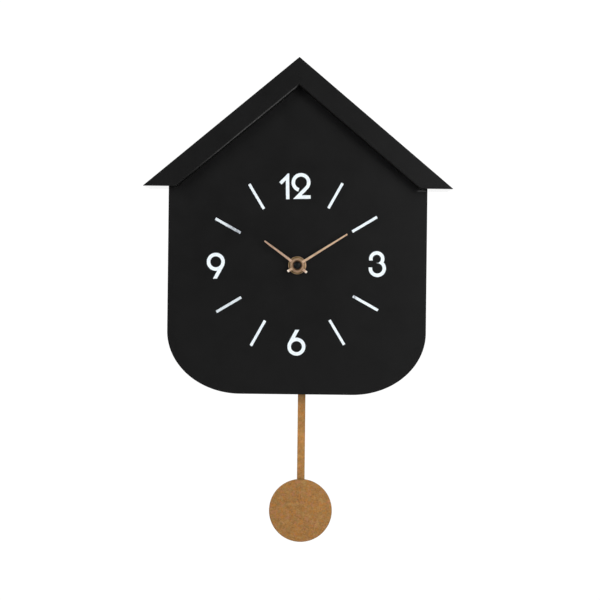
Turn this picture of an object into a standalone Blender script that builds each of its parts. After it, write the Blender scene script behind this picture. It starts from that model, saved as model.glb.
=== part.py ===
"""House-shaped wall clock with a battery movement and a swinging pendulum.

The origin is the hanging point in the wall plane. The front faces -Y, +X is to the right as seen
from the front, and +Z is up. All sizes are in metres.
"""
import math

import bmesh
import bpy
from mathutils import Matrix

PARTS = "pendulum_wall_clock"
TOOLS = "cutters_and_joins"

GAP = 0.0003
MARK_GAP = 0.0001
WELD = 0.000001

# Roof: two mitred boards whose eaves are cut level
ROOF_SLOPE = math.radians(40.0)
ROOF_THICKNESS = 0.0193
ROOF_HALF_WIDTH = 0.140
ROOF_FRONT = -0.060
APEX_Z = 0.0476
BOARD_EDGE = 0.0007

# Body: a face panel on side walls and a bottom rail with elliptical corners
BODY_HALF_WIDTH = 0.1176
BODY_BOTTOM_Z = -0.2573
FACE_FRONT = -0.0450
FACE_BACK = -0.0400
CORNER_RX = 0.0667
CORNER_RZ = 0.0566
CORNER_STEPS = 14
WALL = 0.009

EAVE_Z = APEX_Z - ROOF_HALF_WIDTH * math.tan(ROOF_SLOPE)
SOFFIT_APEX_Z = APEX_Z - ROOF_THICKNESS / math.cos(ROOF_SLOPE)
EAVE_INNER_X = (SOFFIT_APEX_Z - EAVE_Z) / math.tan(ROOF_SLOPE)
CORNER_X = BODY_HALF_WIDTH - CORNER_RX
CORNER_Z = BODY_BOTTOM_Z + CORNER_RZ

# Keyhole hanger under the ridge
BLOCK_HALF_WIDTH = 0.030
BLOCK_BOTTOM_Z = -0.034
BLOCK_DEPTH = 0.018
SEAT_DEPTH = 0.0030
PLATE_HALF_WIDTH = 0.010
PLATE_THICKNESS = 0.0012
PLATE_TOP_Z = 0.0150
PLATE_BOTTOM_Z = -0.0275
KEYHOLE_R = 0.0048
KEYHOLE_Z = -0.0120
KEYHOLE_SLOT_R = 0.0023
NAIL_CAVITY_HALF_WIDTH = 0.0070
NAIL_CAVITY_DEPTH = 0.0120
SCREW_ZS = {"hanger_screw_upper": 0.0098, "hanger_screw_lower": -0.0222}
SCREW_HEAD_R = 0.0030
SCREW_SHANK_R = 0.0011
SCREW_LENGTH = 0.0110

# Dial: the hands' axis, and marks stuck on about a centre and at a turn slightly off it
DIAL_Z = -0.1400
MARKS_CENTRE = (-0.0005, -0.1392)
MARKS_TURN = math.radians(-1.2)
BAR_RADIUS = 0.0717
BAR_LENGTH = 0.0262
BAR_WIDTH = 0.0025
MARK_THICKNESS = 0.0005
MARK_ROUND = 0.0004
BAR_HOURS = (1, 2, 4, 5, 7, 8, 10, 11)
NUMERAL_HEIGHT = 0.0235
STROKE = 0.0032
ONE_AT = (-0.0076, 0.0711)
ONE_FLAT = 0.0012
ONE_FLAG_REACH = 0.0079
ONE_FLAG_WIDTH = 0.0030
TWO_AT = (0.0046, 0.0713)
TWO_R = 0.0086
TWO_CURL = math.radians(-163.0)
TWO_LEAVE = math.radians(135.0)
THREE_AT = (0.0730, -0.0004)
THREE_UPPER_R = 0.0070
THREE_LOWER_R = 0.0079
THREE_STAGGER = 0.0002
THREE_OPEN_ABOVE = 0.0014
THREE_OPEN_BELOW = 0.0009
SIX_AT = (-0.0010, -0.0711)
NINE_AT = (-0.0735, -0.0004)
RING_R = 0.0082
RING_TAIL_LEAN = math.radians(29.0)

# Hands, at ten past ten
MINUTE_TURN = math.radians(57.5)
MINUTE_TIP = 0.0532
MINUTE_TAIL = 0.0103
MINUTE_HUB_R = 0.0055
HOUR_TURN = math.radians(306.1)
HOUR_TIP = 0.0369
HOUR_TAIL = 0.0108
HOUR_HUB_R = 0.0065
HAND_ROOT_WIDTH = 0.0022
HAND_TIP_WIDTH = 0.0014
HAND_THICKNESS = 0.0005
HOUR_HAND_FRONT = -0.0518
MINUTE_HAND_FRONT = -0.0542
CAP_R = 0.0032
CAP_HEIGHT = 0.0019

# Handset tubes and what clamps them to the face
MINUTE_ARBOR_R = 0.0016
HOUR_TUBE_R = 0.0026
HOUR_TUBE_BORE_R = 0.0019
BUSHING_R = 0.0040
BUSHING_BORE_R = 0.0029
BUSHING_FRONT = -0.0500
BUSHING_FLANGE_R = 0.0065
FACE_HOLE_R = 0.0050
WASHER_R = 0.0082
WASHER_THICKNESS = 0.0010
NUT_R = 0.0058
NUT_THICKNESS = 0.0023
GASKET_R = 0.0110
GASKET_THICKNESS = 0.0010
CLEARANCE_R = BUSHING_R + GAP

# Movement case: a front tray and a rear cover, each with three chambers
CASE_HALF_WIDTH = 0.0290
CASE_TOP_Z = -0.1120
CASE_BOTTOM_Z = -0.2200
CASE_FRONT = -0.0384
CASE_SPLIT = -0.0290
CASE_BACK = -0.0215
CASE_WALL = 0.0014
CHAMBER_HALF_WIDTH = CASE_HALF_WIDTH - CASE_WALL
CHAMBERS = {
    "clock": (-0.1664, CASE_TOP_Z - CASE_WALL),
    "battery": (-0.1849, -0.1681),
    "pendulum": (CASE_BOTTOM_Z + CASE_WALL, -0.1864),
}
CHAMBER_FRONT = CASE_FRONT + CASE_WALL
CHAMBER_BACK = CASE_BACK - CASE_WALL

# Battery and what carries its current
BATTERY_R = 0.0071
BATTERY_HALF_LENGTH = 0.0244
BATTERY_NUB_R = 0.0026
BATTERY_NUB_LENGTH = 0.0013
BATTERY_Y = -0.0295
BATTERY_Z = -0.1765
CONTACT_THICKNESS = 0.0004
SPRING_WIRE_R = 0.00025
SPRING_TURNS = 2.25

# Circuit board, crystal and stepper motor
BOARD_HALF_WIDTH = 0.0250
BOARD_LOW_Z = -0.1656
BOARD_HIGH_Z = -0.1515
BOARD_FRONT = -0.0306
BOARD_THICKNESS = 0.0010
CRYSTAL_R = 0.0010
CRYSTAL_ENDS = (0.0120, 0.0180)
CRYSTAL_AT = (-0.0283, -0.1580)
MOTOR_COIL_R = 0.0035
MOTOR_CORE_R = 0.0022
MOTOR_COIL_ENDS = (-0.0220, -0.0080)
MOTOR_COIL_FLANGE = 0.0012
MOTOR_COIL_AT = (-0.0310, -0.1205)
MOTOR_COVER_LOW = (-0.0055, -0.0312, -0.1302)
MOTOR_COVER_HIGH = (0.0060, -0.0250, -0.1165)
MOTOR_COVER_EDGE = 0.0006

# Wheel train. Each gear: teeth, module; a pair on two arbors shares its module
MOTION_DISTANCE = 0.0110
MOTION_DIRECTION = math.radians(45.0)
THIRD_DISTANCE = 0.0105
THIRD_DIRECTION = math.radians(270.0)
CANNON_TEETH = 10
MOTION_TEETH = 30
MOTION_PINION_TEETH = 8
HOUR_TEETH = 32
CENTRE_TEETH = 45
THIRD_PINION_TEETH = 6
THIRD_TEETH = 48
SECONDS_PINION_TEETH = 6
SECONDS_TEETH = 36
SECONDS_R = 0.0078
WHEEL_THICKNESS = 0.0008
HOUR_WHEEL_THICKNESS = 0.0009
PINION_LENGTH = 0.0017
HOUR_WHEEL_FRONT = -0.0352
HOUR_TUBE_FRONT = -0.0524
MOTION_PINION_FRONT = -0.0354
MOTION_WHEEL_FRONT = -0.0338
CANNON_FRONT = -0.0340
CENTRE_WHEEL_FRONT = -0.0325
THIRD_PINION_FRONT = -0.0328
THIRD_WHEEL_FRONT = -0.0312
SECONDS_PINION_FRONT = -0.0310
SECONDS_WHEEL_FRONT = -0.0299
OVERLAP = 0.0002
ADDENDUM = 0.75
DEDENDUM = 1.10
TOOTH_ROOT = 0.26
TOOTH_TIP = 0.10
ARBOR_R = 0.0006
KNOB_ARBOR_R = 0.0008
KNOB_R = 0.0050
KNOB_FLUTES = 16
KNOB_FLUTE_SHARE = 0.92
KNOB_THICKNESS = 0.0040
KNOB_SOCKET_DEPTH = 0.0011

# Pendulum
PENDULUM_X = 0.0054
PIVOT_Z = -0.1910
PIN_R = 0.00075
LEVER_FRONT = -0.0310
LEVER_BACK = -0.0290
LEVER_HALF_WIDTH = 0.0030
LEVER_HUB_R = 0.0034
LEVER_BOTTOM_Z = -0.2320
PEG_R = 0.0012
PEG_Z = -0.2285
MAGNET_THICKNESS = 0.0020
COIL_THICKNESS = 0.0029
MAGNET_Z = -0.2080
MAGNET_R = 0.0040
COIL_R = 0.0080
COIL_BORE_R = 0.0030
LEVER_SLOT_HALF_WIDTH = 0.0110
ROD_HALF_WIDTH = 0.0035
ROD_THICKNESS = 0.0008
ROD_FRONT = -0.0321
ROD_TOP_Z = -0.2245
ROD_BOTTOM_Z = -0.3721
BOB_R = 0.0288
BOB_Z = -0.3646
BOB_THICKNESS = 0.0020
BOB_RIM = 0.0006
SLOT_HALF_WIDTH = 0.0180
SLOT_FRONT = -0.0365

# Colour, roughness and metallic value of each finish
FINISHES = {
    "black_paint": ((0.012, 0.012, 0.013), 0.42, 0.0),
    "white_enamel": ((0.72, 0.76, 0.78), 0.45, 0.0),
    "rose_gold": ((0.66, 0.42, 0.26), 0.30, 1.0),
    "gold_paint": ((0.40, 0.21, 0.065), 0.48, 0.8),
    "brass": ((0.50, 0.36, 0.15), 0.38, 1.0),
    "steel": ((0.55, 0.56, 0.57), 0.35, 1.0),
    "black_plastic": ((0.018, 0.018, 0.020), 0.45, 0.0),
    "white_plastic": ((0.78, 0.77, 0.72), 0.40, 0.0),
    "rubber": ((0.020, 0.020, 0.020), 0.80, 0.0),
    "copper": ((0.60, 0.22, 0.09), 0.35, 1.0),
    "circuit_board": ((0.05, 0.17, 0.06), 0.50, 0.0),
    "battery_jacket": ((0.03, 0.09, 0.20), 0.35, 0.2),
    "magnet": ((0.16, 0.16, 0.17), 0.45, 0.9),
}


# ---------------------------------------------------------------- scene and materials

def clear_scene():
    for obj in list(bpy.data.objects):
        bpy.data.objects.remove(obj, do_unlink=True)


def collection(name):
    found = bpy.data.collections.get(name)
    if found is None:
        found = bpy.data.collections.new(name)
        bpy.context.scene.collection.children.link(found)
    return found


def give_finish(obj, finish):
    colour, roughness, metallic = FINISHES[finish]
    material = bpy.data.materials.new(obj.name + "_" + finish)
    material.use_nodes = True
    shader = material.node_tree.nodes["Principled BSDF"]
    shader.inputs["Base Color"].default_value = (*colour, 1.0)
    shader.inputs["Roughness"].default_value = roughness
    shader.inputs["Metallic"].default_value = metallic
    obj.data.materials.append(material)


def add_part(obj, finish, smooth=True):
    """Put a sub-part in the clock's collection with its own material."""
    collection(PARTS).objects.link(obj)
    give_finish(obj, finish)
    if smooth and obj.type == "MESH":
        obj.data.shade_smooth()
        obj.data.set_sharp_from_angle(angle=math.radians(35.0))
    return obj


def add_tool(obj):
    """Put a shape that only cuts or joins others in its own collection."""
    collection(TOOLS).objects.link(obj)
    obj.hide_render = True
    obj.display_type = "WIRE"
    return obj


# ---------------------------------------------------------------- shapes

def polar(radius, angle):
    """Point at a clock angle, measured clockwise from the top."""
    return (radius * math.sin(angle), radius * math.cos(angle))


def arc(centre, radius_x, radius_z, start, end, steps):
    """Points from one clock angle to another along an ellipse, both ends included."""
    points = []
    for i in range(steps + 1):
        angle = start + (end - start) * i / steps
        points.append((centre[0] + radius_x * math.sin(angle), centre[1] + radius_z * math.cos(angle)))
    return points


def circle(radius, steps, centre=(0.0, 0.0)):
    return arc(centre, radius, radius, 0.0, 2 * math.pi * (steps - 1) / steps, steps - 1)


def rectangle(low, high):
    return [(low[0], low[1]), (high[0], low[1]), (high[0], high[1]), (low[0], high[1])]


def mirrored(points):
    return [(-x, z) for x, z in reversed(points)]


def plate(name, loops, front, back, centre=(0.0, 0.0), turn=0.0):
    """Upright flat piece: closed outlines in X and Z, thick along Y, turned clockwise about centre."""
    curve = bpy.data.curves.new(name, "CURVE")
    curve.dimensions = "2D"
    curve.fill_mode = "BOTH"
    curve.extrude = (back - front) / 2
    for loop in loops:
        spline = curve.splines.new("POLY")
        spline.points.add(len(loop) - 1)
        spline.use_cyclic_u = True
        for point, (x, z) in zip(spline.points, loop):
            point.co = (x, z, 0.0, 1.0)
    flat = bpy.data.objects.new(name + "_outline", curve)
    bpy.context.scene.collection.objects.link(flat)
    solid = curve_to_mesh(flat, name)
    solid.location = (centre[0], (front + back) / 2, centre[1])
    solid.rotation_euler = (math.pi / 2, turn, 0.0)
    return solid


def curve_to_mesh(curve_object, name):
    """Mesh object with the curve's evaluated shape, its caps welded on; the curve is removed."""
    graph = bpy.context.evaluated_depsgraph_get()
    mesh = bpy.data.meshes.new_from_object(curve_object.evaluated_get(graph))
    mesh.name = name
    shape = bmesh.new()
    shape.from_mesh(mesh)
    bmesh.ops.remove_doubles(shape, verts=shape.verts, dist=WELD)
    bmesh.ops.recalc_face_normals(shape, faces=shape.faces)
    shape.to_mesh(mesh)
    shape.free()
    solid = bpy.data.objects.new(name, mesh)
    bpy.data.objects.remove(curve_object, do_unlink=True)
    return solid


def box(name, low, high):
    """Box between two opposite corners, with its origin at its middle."""
    size = [high[i] - low[i] for i in range(3)]
    shape = bmesh.new()
    bmesh.ops.create_cube(shape, size=1.0, matrix=Matrix.Diagonal((*size, 1.0)))
    mesh = bpy.data.meshes.new(name)
    shape.to_mesh(mesh)
    shape.free()
    obj = bpy.data.objects.new(name, mesh)
    obj.location = [(low[i] + high[i]) / 2 for i in range(3)]
    return obj


def cylinder(name, radius, front, back, centre, steps=24, along_x=False):
    """Round bar along Y, or along X where front and back are then its X ends and centre is (Y, Z)."""
    shape = bmesh.new()
    bmesh.ops.create_cone(shape, cap_ends=True, segments=steps, radius1=radius, radius2=radius,
                          depth=back - front)
    mesh = bpy.data.meshes.new(name)
    shape.to_mesh(mesh)
    shape.free()
    obj = bpy.data.objects.new(name, mesh)
    if along_x:
        obj.location = ((front + back) / 2, centre[0], centre[1])
        obj.rotation_euler = (0.0, math.pi / 2, 0.0)
    else:
        obj.location = (centre[0], (front + back) / 2, centre[1])
        obj.rotation_euler = (math.pi / 2, 0.0, 0.0)
    return obj


def turned(name, profile, centre, closed, steps=24, along_x=False):
    """Turned piece about Y, or about X. The profile holds (radius, position), front to back outside.

    An open profile starts and ends on the axis. A closed one is the section of a ring.
    """
    mesh = bpy.data.meshes.new(name)
    sign = 1.0 if along_x else -1.0
    vertices = [(radius, 0.0, sign * position) for radius, position in profile]
    count = len(vertices)
    edges = [(i, i + 1) for i in range(count - 1)]
    if closed:
        edges.append((count - 1, 0))
    mesh.from_pydata(vertices, edges, [])
    obj = bpy.data.objects.new(name, mesh)
    screw = obj.modifiers.new("turn", "SCREW")
    screw.axis = "Z"
    screw.angle = 2 * math.pi
    screw.steps = steps
    screw.render_steps = steps
    screw.use_merge_vertices = True
    screw.merge_threshold = WELD
    if along_x:
        obj.location = (0.0, centre[0], centre[1])
        obj.rotation_euler = (0.0, math.pi / 2, 0.0)
    else:
        obj.location = (centre[0], 0.0, centre[1])
        obj.rotation_euler = (math.pi / 2, 0.0, 0.0)
    return obj


def combine(body, tool, operation):
    """Cut a tool from a body, or join it on, with a Boolean modifier."""
    add_tool(tool)
    modifier = body.modifiers.new(tool.name, "BOOLEAN")
    modifier.operation = operation
    modifier.solver = "EXACT"
    modifier.object = tool


def cut(body, *tools):
    for tool in tools:
        combine(body, tool, "DIFFERENCE")


def join(body, *tools):
    for tool in tools:
        combine(body, tool, "UNION")


def soften(obj, width, segments=2):
    """Round the sharp edges of a piece."""
    bevel = obj.modifiers.new("edges", "BEVEL")
    bevel.width = width
    bevel.segments = segments
    bevel.limit_method = "ANGLE"
    bevel.angle_limit = math.radians(40.0)


def soften_but_ridge(board, width):
    """Round a roof board's edges, except those of its mitre, which meets the other board."""
    shape = bmesh.new()
    shape.from_mesh(board.data)
    weight = shape.edges.layers.float.new("bevel_weight_edge")
    for edge in shape.edges:
        at_ridge = all(abs(vertex.co.x) < GAP for vertex in edge.verts)
        sharp = edge.calc_face_angle() > math.radians(30.0)
        edge[weight] = 1.0 if sharp and not at_ridge else 0.0
    shape.to_mesh(board.data)
    shape.free()
    bevel = board.modifiers.new("edges", "BEVEL")
    bevel.width = width
    bevel.segments = 2
    bevel.limit_method = "WEIGHT"


def stroke(path, width):
    """Outline of a constant-width line along a path, with mitred corners and square ends."""
    left = []
    right = []
    for i, point in enumerate(path):
        before = path[max(i - 1, 0)]
        after = path[min(i + 1, len(path) - 1)]
        normal_in = side_of(before, point) if i > 0 else side_of(point, after)
        normal_out = side_of(point, after) if i < len(path) - 1 else normal_in
        mid = (normal_in[0] + normal_out[0], normal_in[1] + normal_out[1])
        along = mid[0] * normal_in[0] + mid[1] * normal_in[1]
        reach = width / 2 / along
        left.append((point[0] + mid[0] * reach, point[1] + mid[1] * reach))
        right.append((point[0] - mid[0] * reach, point[1] - mid[1] * reach))
    return left + right[::-1]


def side_of(start, end):
    """Unit normal on the left of a step from start to end."""
    dx = end[0] - start[0]
    dz = end[1] - start[1]
    length = math.hypot(dx, dz)
    return (-dz / length, dx / length)


# ---------------------------------------------------------------- case

def soffit_z(x):
    """Height of the roof boards' underside above a point of the body."""
    return max(SOFFIT_APEX_Z - abs(x) * math.tan(ROOF_SLOPE), EAVE_Z)


def bottom_corner(inset):
    """Right-hand bottom corner, from the side down to the bottom edge."""
    return arc((CORNER_X, CORNER_Z), CORNER_RX - inset, CORNER_RZ - inset,
               math.pi / 2, math.pi, CORNER_STEPS)


def build_face_panel():
    top = [
        (0.0, soffit_z(0.0) - GAP),
        (EAVE_INNER_X, EAVE_Z - GAP),
        (BODY_HALF_WIDTH, EAVE_Z - GAP),
    ]
    right = top + bottom_corner(0.0)
    outline = right + mirrored(right[1:])
    panel = plate("face_panel", [outline, circle(FACE_HOLE_R, 24, (0.0, DIAL_Z))], FACE_FRONT, FACE_BACK)
    soften(panel, BOARD_EDGE)
    add_part(panel, "black_paint")


def build_side_walls():
    inner_x = BODY_HALF_WIDTH - WALL
    right = [
        (BODY_HALF_WIDTH, CORNER_Z),
        (BODY_HALF_WIDTH, EAVE_Z - GAP),
        (EAVE_INNER_X, EAVE_Z - GAP),
        (inner_x, soffit_z(inner_x) - GAP),
        (inner_x, CORNER_Z),
    ]
    for name, outline in (("side_wall_right", right), ("side_wall_left", mirrored(right))):
        add_part(plate(name, [outline], FACE_BACK + GAP, 0.0), "black_paint")


def build_bottom_wall():
    outer = bottom_corner(0.0)
    inner = bottom_corner(WALL)
    lowered = [(x, min(z, CORNER_Z - GAP)) for x, z in outer + mirrored(outer)]
    lifted = [(x, min(z, CORNER_Z - GAP)) for x, z in inner + mirrored(inner)]
    rail = plate("bottom_wall", [lowered + lifted[::-1]], FACE_BACK + GAP, 0.0)
    slot = box("pendulum_slot_cutter",
               (PENDULUM_X - SLOT_HALF_WIDTH, SLOT_FRONT, BODY_BOTTOM_Z - WALL),
               (PENDULUM_X + SLOT_HALF_WIDTH, WALL, BODY_BOTTOM_Z + 2 * WALL))
    cut(rail, slot)
    add_part(rail, "black_paint")


def build_roof_boards():
    ridge = GAP / 2
    right = [
        (ridge, APEX_Z - ridge * math.tan(ROOF_SLOPE)),
        (ROOF_HALF_WIDTH, EAVE_Z),
        (EAVE_INNER_X, EAVE_Z),
        (ridge, SOFFIT_APEX_Z - ridge * math.tan(ROOF_SLOPE)),
    ]
    for name, outline in (("roof_board_right", right), ("roof_board_left", mirrored(right))):
        board = plate(name, [outline], ROOF_FRONT, 0.0)
        soften_but_ridge(board, BOARD_EDGE)
        add_part(board, "black_paint")


def build_hanging_block():
    shoulder_z = soffit_z(BLOCK_HALF_WIDTH) - GAP
    outline = [
        (0.0, soffit_z(0.0) - GAP),
        (BLOCK_HALF_WIDTH, shoulder_z),
        (BLOCK_HALF_WIDTH, BLOCK_BOTTOM_Z),
        (-BLOCK_HALF_WIDTH, BLOCK_BOTTOM_Z),
        (-BLOCK_HALF_WIDTH, shoulder_z),
    ]
    block = plate("hanging_block", [outline], -BLOCK_DEPTH, 0.0)
    seat = box("plate_seat_cutter",
               (-PLATE_HALF_WIDTH - GAP, -SEAT_DEPTH, PLATE_BOTTOM_Z - GAP),
               (PLATE_HALF_WIDTH + GAP, SEAT_DEPTH, PLATE_TOP_Z + GAP))
    cavity = box("nail_cavity_cutter",
                 (-NAIL_CAVITY_HALF_WIDTH, -NAIL_CAVITY_DEPTH, KEYHOLE_Z - NAIL_CAVITY_HALF_WIDTH),
                 (NAIL_CAVITY_HALF_WIDTH, SEAT_DEPTH, NAIL_CAVITY_HALF_WIDTH))
    pilots = [
        cylinder("pilot_cutter", SCREW_SHANK_R + GAP, -SCREW_LENGTH - 2 * SEAT_DEPTH, 0.0, (0.0, z), 8)
        for z in SCREW_ZS.values()
    ]
    cut(block, seat, cavity, *pilots)
    add_part(block, "black_paint", smooth=False)


def build_hanger_plate():
    half = PLATE_HALF_WIDTH
    corner = half / 4
    outline = []
    for x, z, start in (
        (half - corner, PLATE_TOP_Z - corner, 0.0),
        (half - corner, PLATE_BOTTOM_Z + corner, math.pi / 2),
        (corner - half, PLATE_BOTTOM_Z + corner, math.pi),
        (corner - half, PLATE_TOP_Z - corner, 3 * math.pi / 2),
    ):
        outline += arc((x, z), corner, corner, start, start + math.pi / 2, 4)
    neck = math.asin(KEYHOLE_SLOT_R / KEYHOLE_R)
    keyhole = arc((0.0, KEYHOLE_Z), KEYHOLE_R, KEYHOLE_R, neck, 2 * math.pi - neck, 18)
    keyhole += arc((0.0, 0.0), KEYHOLE_SLOT_R, KEYHOLE_SLOT_R, -math.pi / 2, math.pi / 2, 8)
    holes = [circle(SCREW_SHANK_R + GAP, 12, (0.0, z)) for z in SCREW_ZS.values()]
    front = -SEAT_DEPTH + GAP
    add_part(plate("hanger_plate", [outline, keyhole] + holes, front, front + PLATE_THICKNESS), "steel")


def build_hanger_screws():
    head_front = -SEAT_DEPTH + PLATE_THICKNESS + 2 * GAP
    for name, z in SCREW_ZS.items():
        profile = [
            (0.0, -SCREW_LENGTH - SEAT_DEPTH),
            (SCREW_SHANK_R, -SCREW_LENGTH),
            (SCREW_SHANK_R, head_front),
            (SCREW_HEAD_R, head_front),
            (SCREW_HEAD_R * 0.8, -GAP),
            (0.0, -GAP),
        ]
        add_part(turned(name, profile, (0.0, z), closed=False, steps=16), "steel")


# ---------------------------------------------------------------- dial

def marks_point(x, z):
    """Place on the face of a point given about the marks' centre, along their own turn."""
    across = x * math.cos(MARKS_TURN) + z * math.sin(MARKS_TURN)
    up = z * math.cos(MARKS_TURN) - x * math.sin(MARKS_TURN)
    return (MARKS_CENTRE[0] + across, MARKS_CENTRE[1] + up)


def mark_plate(name, loops, at, turn=0.0):
    back = FACE_FRONT - MARK_GAP
    return plate(name, loops, back - MARK_THICKNESS, back, marks_point(*at), turn + MARKS_TURN)


def add_mark(mark):
    soften(mark, MARK_ROUND / 2, segments=1)
    add_part(mark, "white_enamel")


def build_hour_bars():
    outline = rectangle((-BAR_WIDTH / 2, BAR_RADIUS - BAR_LENGTH / 2),
                        (BAR_WIDTH / 2, BAR_RADIUS + BAR_LENGTH / 2))
    for hour in BAR_HOURS:
        add_mark(mark_plate("hour_bar_%02d" % hour, [outline], (0.0, 0.0), math.radians(30.0 * hour)))


def build_numeral_one():
    """Stem with a flag that leaves its top at 45 degrees, cut square."""
    top = NUMERAL_HEIGHT / 2
    half = STROKE / 2
    tip = (half - ONE_FLAT - ONE_FLAG_REACH, top - ONE_FLAG_REACH)
    cut_side = ONE_FLAG_WIDTH / math.sqrt(2)
    heel = (tip[0] + cut_side, tip[1] - cut_side)
    outline = [
        (half - ONE_FLAT, top),
        (half, top),
        (half, -top),
        (-half, -top),
        (-half, heel[1] - half - heel[0]),
        heel,
        tip,
    ]
    add_mark(mark_plate("numeral_12_tens", [outline], ONE_AT))


def build_numeral_two():
    """Almost closed ring, then a straight diagonal down to a level foot."""
    radius = TWO_R - STROKE / 2
    bowl = (0.0, NUMERAL_HEIGHT / 2 - TWO_R)
    foot_z = -NUMERAL_HEIGHT / 2 + STROKE / 2
    hook = arc(bowl, radius, radius, TWO_CURL, TWO_LEAVE, 28)
    leave = (hook[-1][0] + OVERLAP, hook[-1][1] + OVERLAP)
    corner = (leave[0] - (leave[1] - foot_z), foot_z)
    numeral = mark_plate("numeral_12_units", [stroke(hook, STROKE)], TWO_AT)
    foot = stroke([leave, corner, (TWO_R, foot_z)], STROKE)
    join(numeral, mark_plate("numeral_12_units_foot", [foot], TWO_AT))
    add_mark(numeral)


def build_numeral_three():
    """Two discs joined, with both counters and the left side opened, so that they meet in a cusp."""
    upper = (-THREE_STAGGER, NUMERAL_HEIGHT / 2 - THREE_UPPER_R)
    lower = (THREE_STAGGER, THREE_LOWER_R - NUMERAL_HEIGHT / 2)
    numeral = mark_plate("numeral_03", [circle(THREE_UPPER_R, 40, upper)], THREE_AT)
    join(numeral, mark_plate("numeral_03_low_bowl", [circle(THREE_LOWER_R, 44, lower)], THREE_AT))
    opening = rectangle((-2 * THREE_LOWER_R, lower[1] + THREE_OPEN_BELOW),
                        (upper[0], upper[1] - THREE_OPEN_ABOVE))
    for name, loop in (
        ("upper_counter", circle(THREE_UPPER_R - STROKE, 32, upper)),
        ("lower_counter", circle(THREE_LOWER_R - STROKE, 36, lower)),
        ("left_opening", opening),
    ):
        cutter = plate("numeral_03_" + name, [loop], FACE_FRONT - WALL, FACE_FRONT + WALL,
                       marks_point(*THREE_AT), MARKS_TURN)
        cut(numeral, cutter)
    add_mark(numeral)


def build_ring_numeral(name, at, turn):
    """A ring with a straight tail that leaves it as a tangent: a 6, or a 9 when turned over."""
    ring_z = -NUMERAL_HEIGHT / 2 + RING_R
    ring = mark_plate(name, [circle(RING_R, 36, (0.0, ring_z)), circle(RING_R - STROKE, 28, (0.0, ring_z))],
                      at, turn)
    middle = RING_R - STROKE / 2
    touch = (-middle * math.cos(RING_TAIL_LEAN), ring_z + middle * math.sin(RING_TAIL_LEAN))
    rise = NUMERAL_HEIGHT / 2 - touch[1]
    half = STROKE / 2 / math.cos(RING_TAIL_LEAN)
    shift = rise * math.tan(RING_TAIL_LEAN)
    tail = [
        (touch[0] - half, touch[1]),
        (touch[0] + half, touch[1]),
        (touch[0] + half + shift, touch[1] + rise),
        (touch[0] - half + shift, touch[1] + rise),
    ]
    join(ring, mark_plate(name + "_tail", [tail], at, turn))
    add_mark(ring)


def build_dial():
    build_hour_bars()
    build_numeral_one()
    build_numeral_two()
    build_numeral_three()
    build_ring_numeral("numeral_06", SIX_AT, 0.0)
    build_ring_numeral("numeral_09", NINE_AT, math.pi)


# ---------------------------------------------------------------- hands and handset

def build_hand(name, tip, tail, hub_r, bore_r, front, turn):
    """Flat hand that tapers from its hub to a square tip, with a short tail."""
    back = front + HAND_THICKNESS
    axis = (0.0, DIAL_Z)
    hand = plate(name, [circle(hub_r, 32), circle(bore_r, 20)], front, back, axis, turn)
    reach = math.sqrt(hub_r ** 2 - (HAND_ROOT_WIDTH / 2) ** 2) - GAP
    root = HAND_ROOT_WIDTH / 2
    end = HAND_TIP_WIDTH / 2
    blade = [(-root, reach), (root, reach), (end, tip), (-end, tip)]
    stub = rectangle((-root, -tail), (root, -reach))
    join(hand,
         plate(name + "_blade", [blade], front, back, axis, turn),
         plate(name + "_tail", [stub], front, back, axis, turn))
    add_part(hand, "rose_gold")


def build_hands():
    build_hand("hour_hand", HOUR_TIP, HOUR_TAIL, HOUR_HUB_R, HOUR_TUBE_R + GAP, HOUR_HAND_FRONT, HOUR_TURN)
    build_hand("minute_hand", MINUTE_TIP, MINUTE_TAIL, MINUTE_HUB_R, MINUTE_ARBOR_R + GAP,
               MINUTE_HAND_FRONT, MINUTE_TURN)


def build_hand_cap():
    back = MINUTE_HAND_FRONT - 2 * GAP
    front = back - CAP_HEIGHT
    profile = [(0.0, front)]
    for radius, position in arc((0.0, 0.0), CAP_R, CAP_HEIGHT * 0.6, math.radians(25.0), math.pi / 2, 4):
        profile.append((radius, front + CAP_HEIGHT * 0.6 - position))
    profile += [(CAP_R, back), (0.0, back)]
    add_part(turned("hand_cap", profile, (0.0, DIAL_Z), closed=False), "black_plastic")


def ring_profile(outer, inner, front, back, chamfer=0.0):
    """Section of a flat ring, down its outer side and back up its bore."""
    section = [(inner, front), (outer - chamfer, front)]
    if chamfer > 0.0:
        section.append((outer, front + chamfer))
    return section + [(outer, back), (inner, back)]


def build_handset():
    axis = (0.0, DIAL_Z)
    washer_back = FACE_FRONT - GAP
    washer_front = washer_back - WASHER_THICKNESS
    washer = ring_profile(WASHER_R, CLEARANCE_R, washer_front, washer_back, GAP)
    add_part(turned("dial_washer", washer, axis, closed=True, steps=40), "brass")

    nut_back = washer_front - GAP
    nut = plate("hex_nut", [circle(NUT_R, 6), circle(CLEARANCE_R, 24)],
                nut_back - NUT_THICKNESS, nut_back, axis)
    add_part(nut, "brass")

    gasket_front = FACE_BACK + GAP
    gasket = ring_profile(GASKET_R, CLEARANCE_R, gasket_front, gasket_front + GASKET_THICKNESS)
    add_part(turned("rubber_gasket", gasket, axis, closed=True), "rubber")

    flange_front = CHAMBER_FRONT + GAP
    flange_back = flange_front + 0.0010
    bushing = [
        (BUSHING_BORE_R, BUSHING_FRONT),
        (BUSHING_R - GAP, BUSHING_FRONT),
        (BUSHING_R, BUSHING_FRONT + GAP),
        (BUSHING_R, flange_front),
        (BUSHING_FLANGE_R, flange_front),
        (BUSHING_FLANGE_R, flange_back),
        (BUSHING_BORE_R, flange_back),
    ]
    add_part(turned("threaded_bushing", bushing, axis, closed=True), "brass")


# ---------------------------------------------------------------- movement case and electrics

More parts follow.
